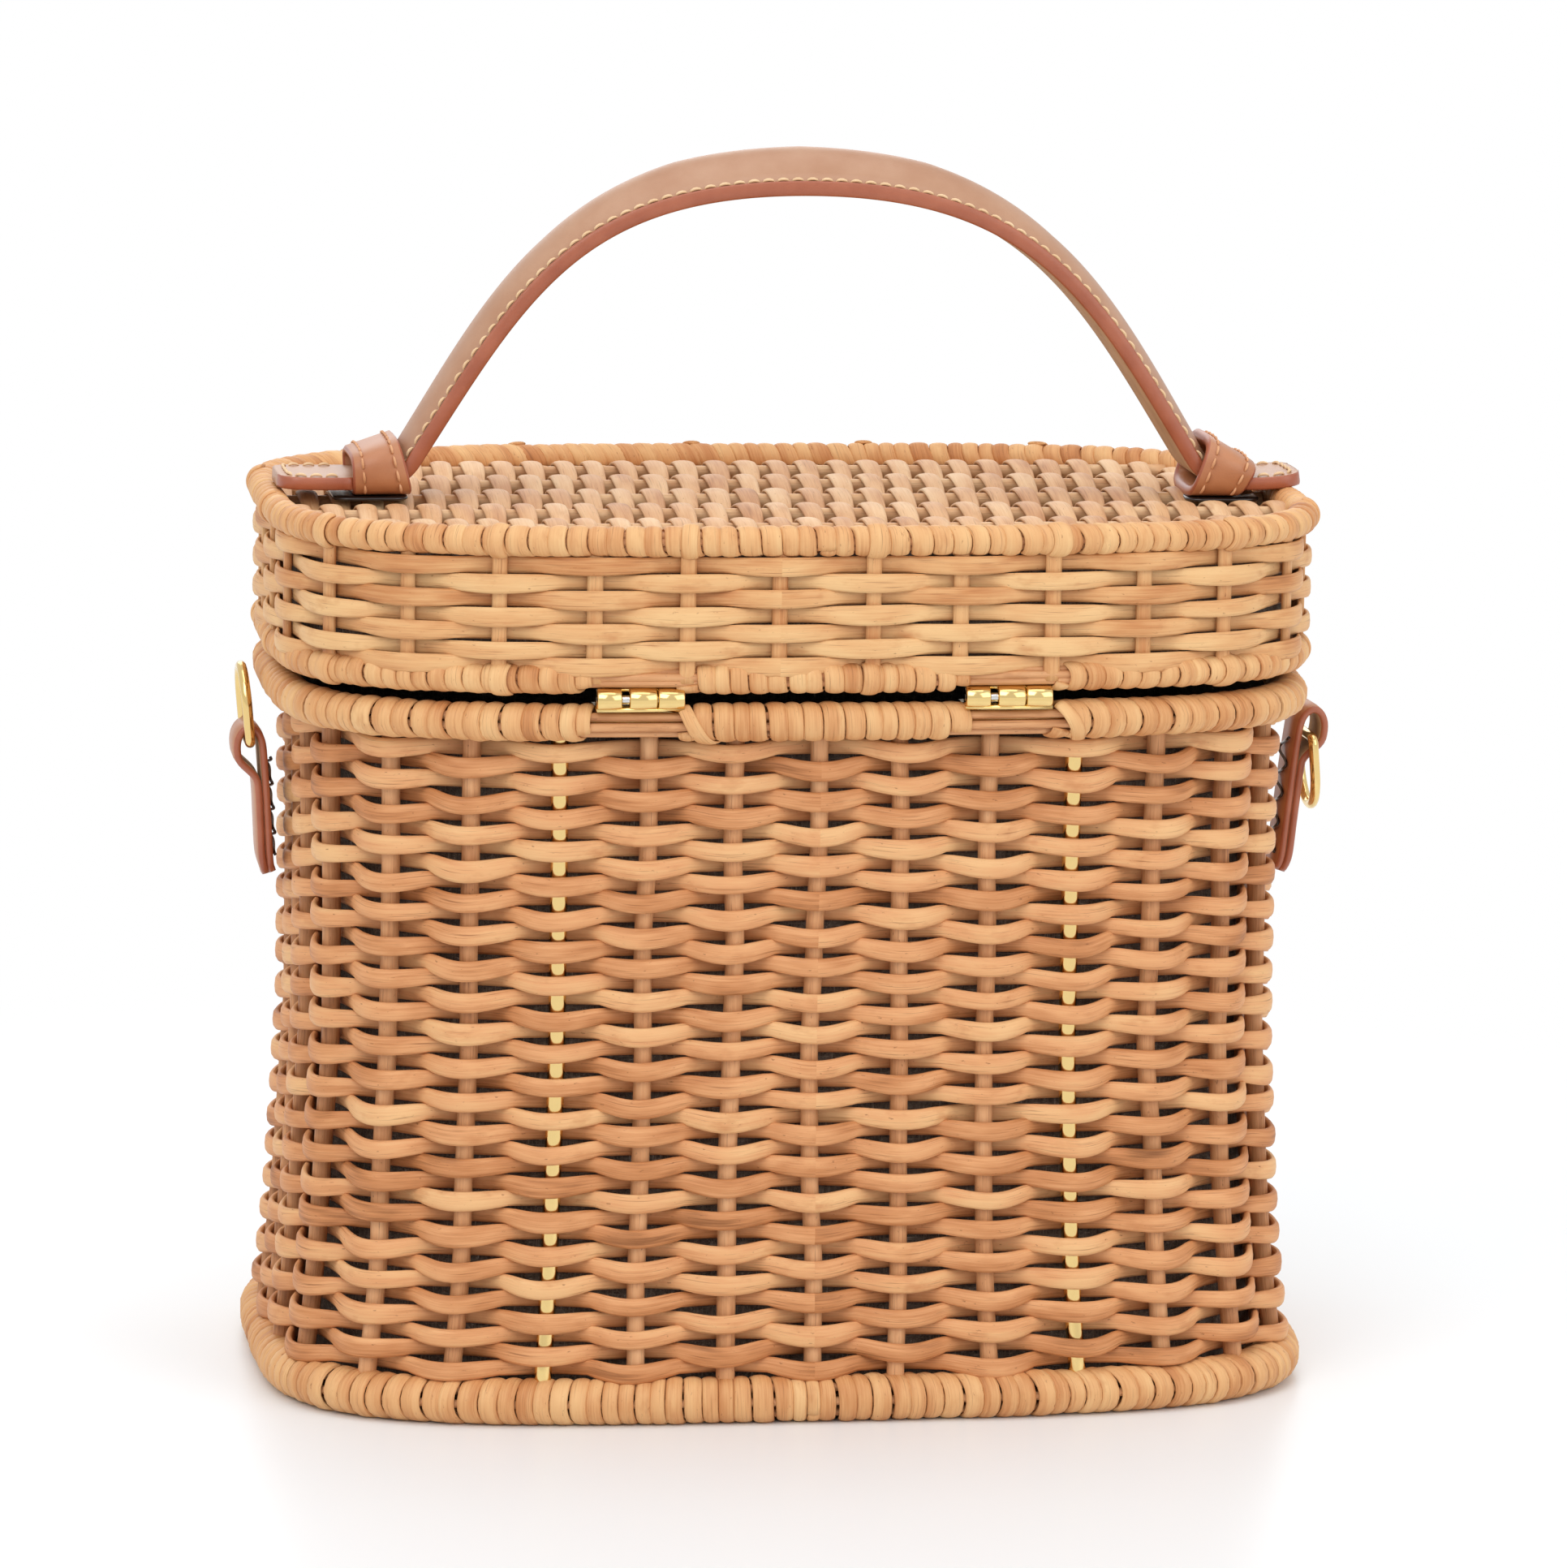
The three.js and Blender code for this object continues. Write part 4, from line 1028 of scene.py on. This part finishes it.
def spline(points, count):
    """Catmull-Rom line through points, evenly spaced."""
    p = np.array(points, float)
    p = np.vstack([2 * p[0] - p[1], p, 2 * p[-1] - p[-2]])
    t = np.linspace(0, 1, 12, endpoint=False)[:, None]
    parts = []
    for i in range(1, len(p) - 2):
        a, b, c, d = p[i - 1], p[i], p[i + 1], p[i + 2]
        parts.append(0.5 * (2 * b + (c - a) * t + (2 * a - 5 * b + 4 * c - d) * t ** 2
                            + (3 * b - a - 3 * c + d) * t ** 3))
    line = np.vstack(parts + [p[-2:-1]])
    run = run_length(line)
    return at_length(np.linspace(0, run[-1], count), run, line)


def build_tabs():
    for name, side in (("left", -1), ("right", 1)):
        height = SIDE_TABS[side][2]
        top = height - POCKET_BELOW
        arc = [(BAR_U + 3.25 * math.cos(a), top + 5.25 * math.sin(a))
               for a in np.radians([165, 130, 95, 60, 25, -10, -40])]
        uv = spline([(0.2, 0.8), (0.9, 4), (0.9, 14), (0.9, top - 12), (1.0, top - 4)] + arc
                    + [(3.4, top - 7.4), (2.8, top - 11), (2.8, 14), (2.8, 5), (1.9, 0.4)], 90)
        x, z = tab_place(side, *uv.T)
        ax, az = tab_place(side, *(uv + plane_normal(uv)).T)
        path = np.column_stack([x, 0 * x, z])
        out = unit(np.column_stack([ax - x, 0 * x, az - z]))
        share = np.linspace(0, 1, 90)
        away = np.minimum(share, 1 - share) * TAB_LENGTH
        taper = np.sqrt(np.clip(1 - (1 - np.clip(away / TAB_ROUND, 0, 1)) ** 2, 0.02, 1))
        half = TAB_W / 2
        rim = leather_rim(half - 0.5, half, TAB_T / 2, 0.5, 0.15)
        sections = np.tile(rim[None], (90, 1, 1))
        sections[..., 0] *= (0.55 + 0.45 * taper)[:, None]
        tab = Piece(f"side_tab_{name}_leather")
        tab.sweep(path, out, sections, bands=LEATHER_BANDS)
        made = tab.build([tan_leather, edge_paint, flesh], "basket", "leather_edge", [f"side_tab_{name}"])
        recalculate(made)
        lace = Piece(f"side_tab_{name}_lacing")
        v = np.linspace(5, height - 9, 110)
        swing = (v - 5) / (height - 14) * TURN * LACE_TURNS
        lx, lz = tab_place(side, -0.75 + 0.25 * np.sin(swing * 2), v)
        line = np.column_stack([lx, LACE_REACH * np.cos(swing), lz])
        lace.strand(line, facing((side, 0, 0.2), 110), circle(8), LACE_WIDTH, LACE_WIDTH)
        lace.build(dark_backing, "basket", "backing", [f"side_tab_backing_{name}"])
        build_ring(name, side)


def build_ring(name, side):
    legs = RING_HEIGHT - RING_HALF
    a = np.linspace(0, math.pi, 25)
    c = RING_CORNER
    q = np.linspace(0, math.pi / 2, 6)[1:-1]
    right = [(RING_HALF - c + c * math.sin(t), c - c * math.cos(t)) for t in q]
    bow = np.column_stack([RING_HALF * np.cos(a), legs + RING_HALF * np.sin(a)])
    bar = np.array([(-RING_HALF + c, 0), (-4, 0), (0, 0), (4, 0), (RING_HALF - c, 0)])
    left = [(-y, z) for y, z in right[::-1]]
    ring = np.vstack([bar, right, [(RING_HALF, c)], bow, [(-RING_HALF, c)], left, bar[:1]])
    lean = math.radians(RING_LEAN[side])
    x0, z0 = tab_place(side, BAR_U, SIDE_TABS[side][4])
    path = np.column_stack([x0 + side * ring[:, 1] * math.sin(lean), ring[:, 0],
                            z0 + ring[:, 1] * math.cos(lean)])
    out = facing((math.cos(lean), 0, -side * math.sin(lean)), len(path))
    piece = Piece(f"ring_{name}_wire")
    piece.strand(path, out, circle(16), 2 * RING_R, 2 * RING_R, closed=True)
    made = piece.build(brass, f"ring_{name}", "brass", [f"d_ring_{name}"])
    recalculate(made)


# -------- hinges

KNUCKLES = [(10.8, 4.7), (2.8, -4.0), (-4.3, -10.8)]
HINGE_Y, HINGE_Z, KNUCKLE_R = 79.0, 182.0, 2.85


def rod_along_x(piece, x0, x1, radius, bevel=0.3):
    low, high = sorted((x0, x1))
    x = np.array([low, low + 0.02, low + bevel, high - bevel, high - 0.02, high])
    size = 2 * radius * np.array([0.5, 1 - bevel / radius, 1, 1, 1 - bevel / radius, 0.5])
    path = np.column_stack([x, np.full(6, HINGE_Y), np.full(6, HINGE_Z)])
    piece.strand(path, facing((0, 0, 1), 6), circle(28), size, size)


def plate(piece, x0, x1, y0, y1, z0, z1):
    path = np.array([[x0, (y0 + y1) / 2, (z0 + z1) / 2], [x1, (y0 + y1) / 2, (z0 + z1) / 2]])
    square = np.array([[-0.5, -0.5], [0.5, -0.5], [0.5, 0.5], [-0.5, 0.5]])
    piece.strand(path, facing((0, 0, 1), 2), square, y1 - y0, z1 - z0)


def build_hinges():
    for name, x in (("left", -HINGE_X), ("right", HINGE_X)):
        body_leaf, lid_leaf = Piece(f"hinge_body_{name}"), Piece(f"hinge_lid_{name}")
        for index, (a, b) in enumerate(KNUCKLES):
            rod_along_x(lid_leaf if index == 1 else body_leaf, x + a, x + b, KNUCKLE_R)
        plate(lid_leaf, x - 10.8, x + 9.0, 70.5, 78.6, 183.95, 184.8)
        plate(lid_leaf, x + KNUCKLES[1][1], x + KNUCKLES[1][0], 76.0, 79.4, 184.0, 184.85)
        plate(body_leaf, x - 10.8, x + 10.8, 70.0, 80.9, 179.2, 180.1)
        body_leaf.build(brass, "basket", "brass", [f"hinge_body_leaf_{name}"])
        lid_leaf.build(brass, "lid", "brass", [f"hinge_lid_leaf_{name}"])
        pin = Piece(f"hinge_pin_{name}_rod")
        rod_along_x(pin, x - 10.9, x + 10.9, 1.1)
        pin.build(steel, "basket", "brass", [f"hinge_pin_{name}"])


# -------- front closure

def disc_along_y(name, x, y0, y1, z, radius, material, dome=0.0):
    """A turned disc from y0 to y1, domed outwards at y0."""
    edge = min(0.4, abs(y1 - y0) / 3)
    profile = [(y1, 0.02), (y1, radius - edge), (y1 - edge, radius), (y0 + edge, radius)]
    for share in (1, 0.8, 0.55, 0.3, 0.02):
        profile.append((y0 - dome * (1 - share ** 2), (radius - edge) * share))
    a = np.linspace(0, TURN, 41)[:-1]
    rows = [np.column_stack([x + r * np.cos(a), np.full(40, y), z + r * np.sin(a)]) for y, r in profile]
    piece = Piece(name)
    piece.grid(np.array(rows))
    made = piece.build(material)
    recalculate(made)
    return made


CLOSURE_HALF, CLOSURE_T = 12.0, 1.25  # half width and half thickness of the strap
CLOSURE_LENGTH, CLOSURE_CORNER = 67.2, 4
CLOSURE_BEND = (0.2005, 0.1955)
TAIL_Z = 159  # where the strap's round end starts
SNAP_Z, SNAP_R = 160, 7.0


def build_closure():
    line = spline([(-83.1, 214), (-83.2, 207), (-83.5, 201), (-84.6, 197), (-84.9, 190),
                   (-84.9, 175), (-84.9, 160), (-84.9, 147)], 70)
    path = np.insert(line, 0, 0, axis=1)
    out = np.insert(-plane_normal(line), 0, 0, axis=1)
    run = np.linspace(0, CLOSURE_LENGTH, 70)
    tail = np.clip(CLOSURE_HALF - (run[-1] - run), 0, CLOSURE_HALF - 0.1)
    half = np.sqrt(CLOSURE_HALF ** 2 - tail ** 2)
    head = np.clip(CLOSURE_CORNER - run, 0, CLOSURE_CORNER - 0.1)
    half = half - (CLOSURE_CORNER - np.sqrt(CLOSURE_CORNER ** 2 - head ** 2))
    rim = leather_rim(1, 1.03, CLOSURE_T, 0.4, 0.2)
    sections = np.tile(rim[None], (70, 1, 1))
    sections[..., 0] *= half[:, None]
    strap = Piece("closure_strap")
    strap.sweep(path, out, sections, bands=LEATHER_BANDS)
    made = strap.build([tan_leather, edge_paint, flesh])
    recalculate(made)
    bend(made, ("lid", "closure"), CLOSURE_BEND, ["closure_tab", "closure_anchor"])
    seams = Piece("closure_stitches")
    a = np.linspace(0, math.pi, 25)
    r = CLOSURE_HALF - 2.4
    sides = np.linspace(211.5, TAIL_Z, 40)
    zs = np.concatenate([sides, TAIL_Z - r * np.sin(a[1:-1]), sides[::-1]])
    xs = np.concatenate([np.full(40, r), r * np.cos(a[1:-1]), np.full(40, -r)])
    ys = np.interp(zs, line[::-1, 1], line[::-1, 0]) - CLOSURE_T - 0.1
    line = np.column_stack([xs, ys, zs])
    stitch_run(seams, line, facing((0, -1, 0), len(zs)), radius=0.4)
    bend(seams.build(thread), ("lid", "closure"), CLOSURE_BEND)
    rivet = disc_along_y("closure_rivet_cap", 0, -85.2, -83.2, 206.5, 3.0, brass, dome=0.6)
    settle(rivet, "lid", ["closure_rivet"])
    magnet = disc_along_y("closure_magnet_disc", 0, -83.5, -82.9, SNAP_Z, SNAP_R, steel)
    settle(magnet, "closure", ["closure_magnet"])
    low, high = box_mm("snap_base")
    base = disc_along_y("snap_base_disc", 0, low[1], high[1], SNAP_Z, SNAP_R, steel)
    settle(base, "basket", ["snap_base"])
    low, high = box_mm("snap_pad")
    size = (high - low)[[0, 2, 1]]
    pad = rounded_slab("snap_pad_leather", size, (low + high) / 2, tan_leather, axis="Y")
    settle(pad, "basket", ["snap_pad"])


# -------- carried-over CAD nodes

def dress_cad():
    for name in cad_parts:
        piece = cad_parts[name]
        if piece.hide_render:
            continue
        material = steel if "plate" in name else brass
        piece.data.materials.clear()
        piece.data.materials.append(material)


# -------- floor, lights and camera

CAMERA_DISTANCE, CAMERA_ELEVATION, CAMERA_AZIMUTH = 2.1, math.radians(10.6), math.radians(8.75)
CAMERA_ROLL, LENS = math.radians(0.95), 188.3
CAMERA_ORBIT = Vector((0, 0, 0.110))
CAMERA_AIM = Vector((-0.00332, -0.00635, 0.1462))


def build_floor():
    bpy.ops.mesh.primitive_plane_add(size=40, location=(0, 0, 0))
    floor = bpy.context.object
    floor.name = "floor"
    material, tree, shader = new_material("pale_floor")
    place = node(tree, "ShaderNodeTexCoord").outputs["Object"]
    mottle = noise(tree, place, 3.0, 2.0)
    colour = ramp(tree, mottle, [(0.2, (0.865, 0.895, 0.915, 1)), (0.8, (0.88, 0.91, 0.93, 1))])
    tree.links.new(colour, shader.inputs["Base Color"])
    shader.inputs["Roughness"].default_value = 0.35
    shader.inputs["Specular IOR Level"].default_value = 0.25
    far = node(tree, "ShaderNodeVectorMath", {0: place}, operation="LENGTH").outputs["Value"]
    fade = node(tree, "ShaderNodeMapRange", {"Value": far, "From Min": 0.16, "From Max": 0.5},
                interpolation_type="SMOOTHSTEP").outputs[0]
    rays = node(tree, "ShaderNodeLightPath").outputs
    bounced = maths(tree, "MAXIMUM", rays["Is Glossy Ray"], rays["Is Transmission Ray"])
    seen = maths(tree, "MAXIMUM", rays["Is Camera Ray"], bounced)
    white = node(tree, "ShaderNodeEmission", {"Color": (1, 1, 1, 1), "Strength": 1.0})
    both = node(tree, "ShaderNodeMixShader", {0: maths(tree, "MULTIPLY", fade, seen),
                                              1: shader.outputs[0], 2: white.outputs[0]})
    tree.links.new(both.outputs[0], tree.nodes["Material Output"].inputs["Surface"])
    floor.data.materials.append(material)


def area_light(name, location, target, size, power, tint=(1, 1, 1)):
    data = bpy.data.lights.new(name, "AREA")
    data.shape = "RECTANGLE"
    data.size, data.size_y = size
    data.energy = power
    data.color = tint
    lamp = bpy.data.objects.new(name, data)
    bpy.context.scene.collection.objects.link(lamp)
    lamp.location = location
    lamp.rotation_euler = (Vector(target) - Vector(location)).to_track_quat("-Z", "Y").to_euler()


def build_lights():
    world = bpy.data.worlds.new("studio")
    bpy.context.scene.world = world
    world.use_nodes = True
    background = world.node_tree.nodes["Background"]
    background.inputs["Color"].default_value = (1, 1, 1, 1)
    background.inputs["Strength"].default_value = 0.8
    middle = (0, 0, 0.15)
    area_light("key", (1.1, 1.7, 1.9), middle, (1.6, 1.6), 19)
    area_light("fill", (-1.5, 1.6, 1.2), middle, (1.6, 1.6), 11)
    area_light("top", (0, 0.1, 2.2), middle, (2.0, 1.6), 10)
    area_light("front", (0, -2.2, 1.2), middle, (1.6, 1.4), 8)


def build_camera():
    data = bpy.data.cameras.new("camera")
    data.lens = LENS
    data.sensor_width = 36
    data.clip_start, data.clip_end = 0.1, 100
    camera = bpy.data.objects.new("camera", data)
    bpy.context.scene.collection.objects.link(camera)
    flat = CAMERA_DISTANCE * math.cos(CAMERA_ELEVATION)
    spot = CAMERA_ORBIT + Vector((flat * math.sin(CAMERA_AZIMUTH), flat * math.cos(CAMERA_AZIMUTH),
                                  CAMERA_DISTANCE * math.sin(CAMERA_ELEVATION)))
    forward = (CAMERA_AIM - spot).normalized()
    right = forward.cross(Vector((0, 0, 1))).normalized()
    up = right.cross(forward)
    c, s = math.cos(CAMERA_ROLL), math.sin(CAMERA_ROLL)
    right, up = right * c + up * s, up * c - right * s
    turn = Matrix((right, up, -forward)).transposed()
    camera.matrix_world = Matrix.Translation(spot) @ turn.to_4x4()
    bpy.context.scene.camera = camera


build_body_weave()
build_lid_weave()
build_rims()
build_panels()
build_lining()
build_handle()
build_keepers()
build_tabs()
build_hinges()
build_closure()
dress_cad()
build_floor()
build_lights()
build_camera()
bpy.context.scene.view_settings.view_transform = "Standard"
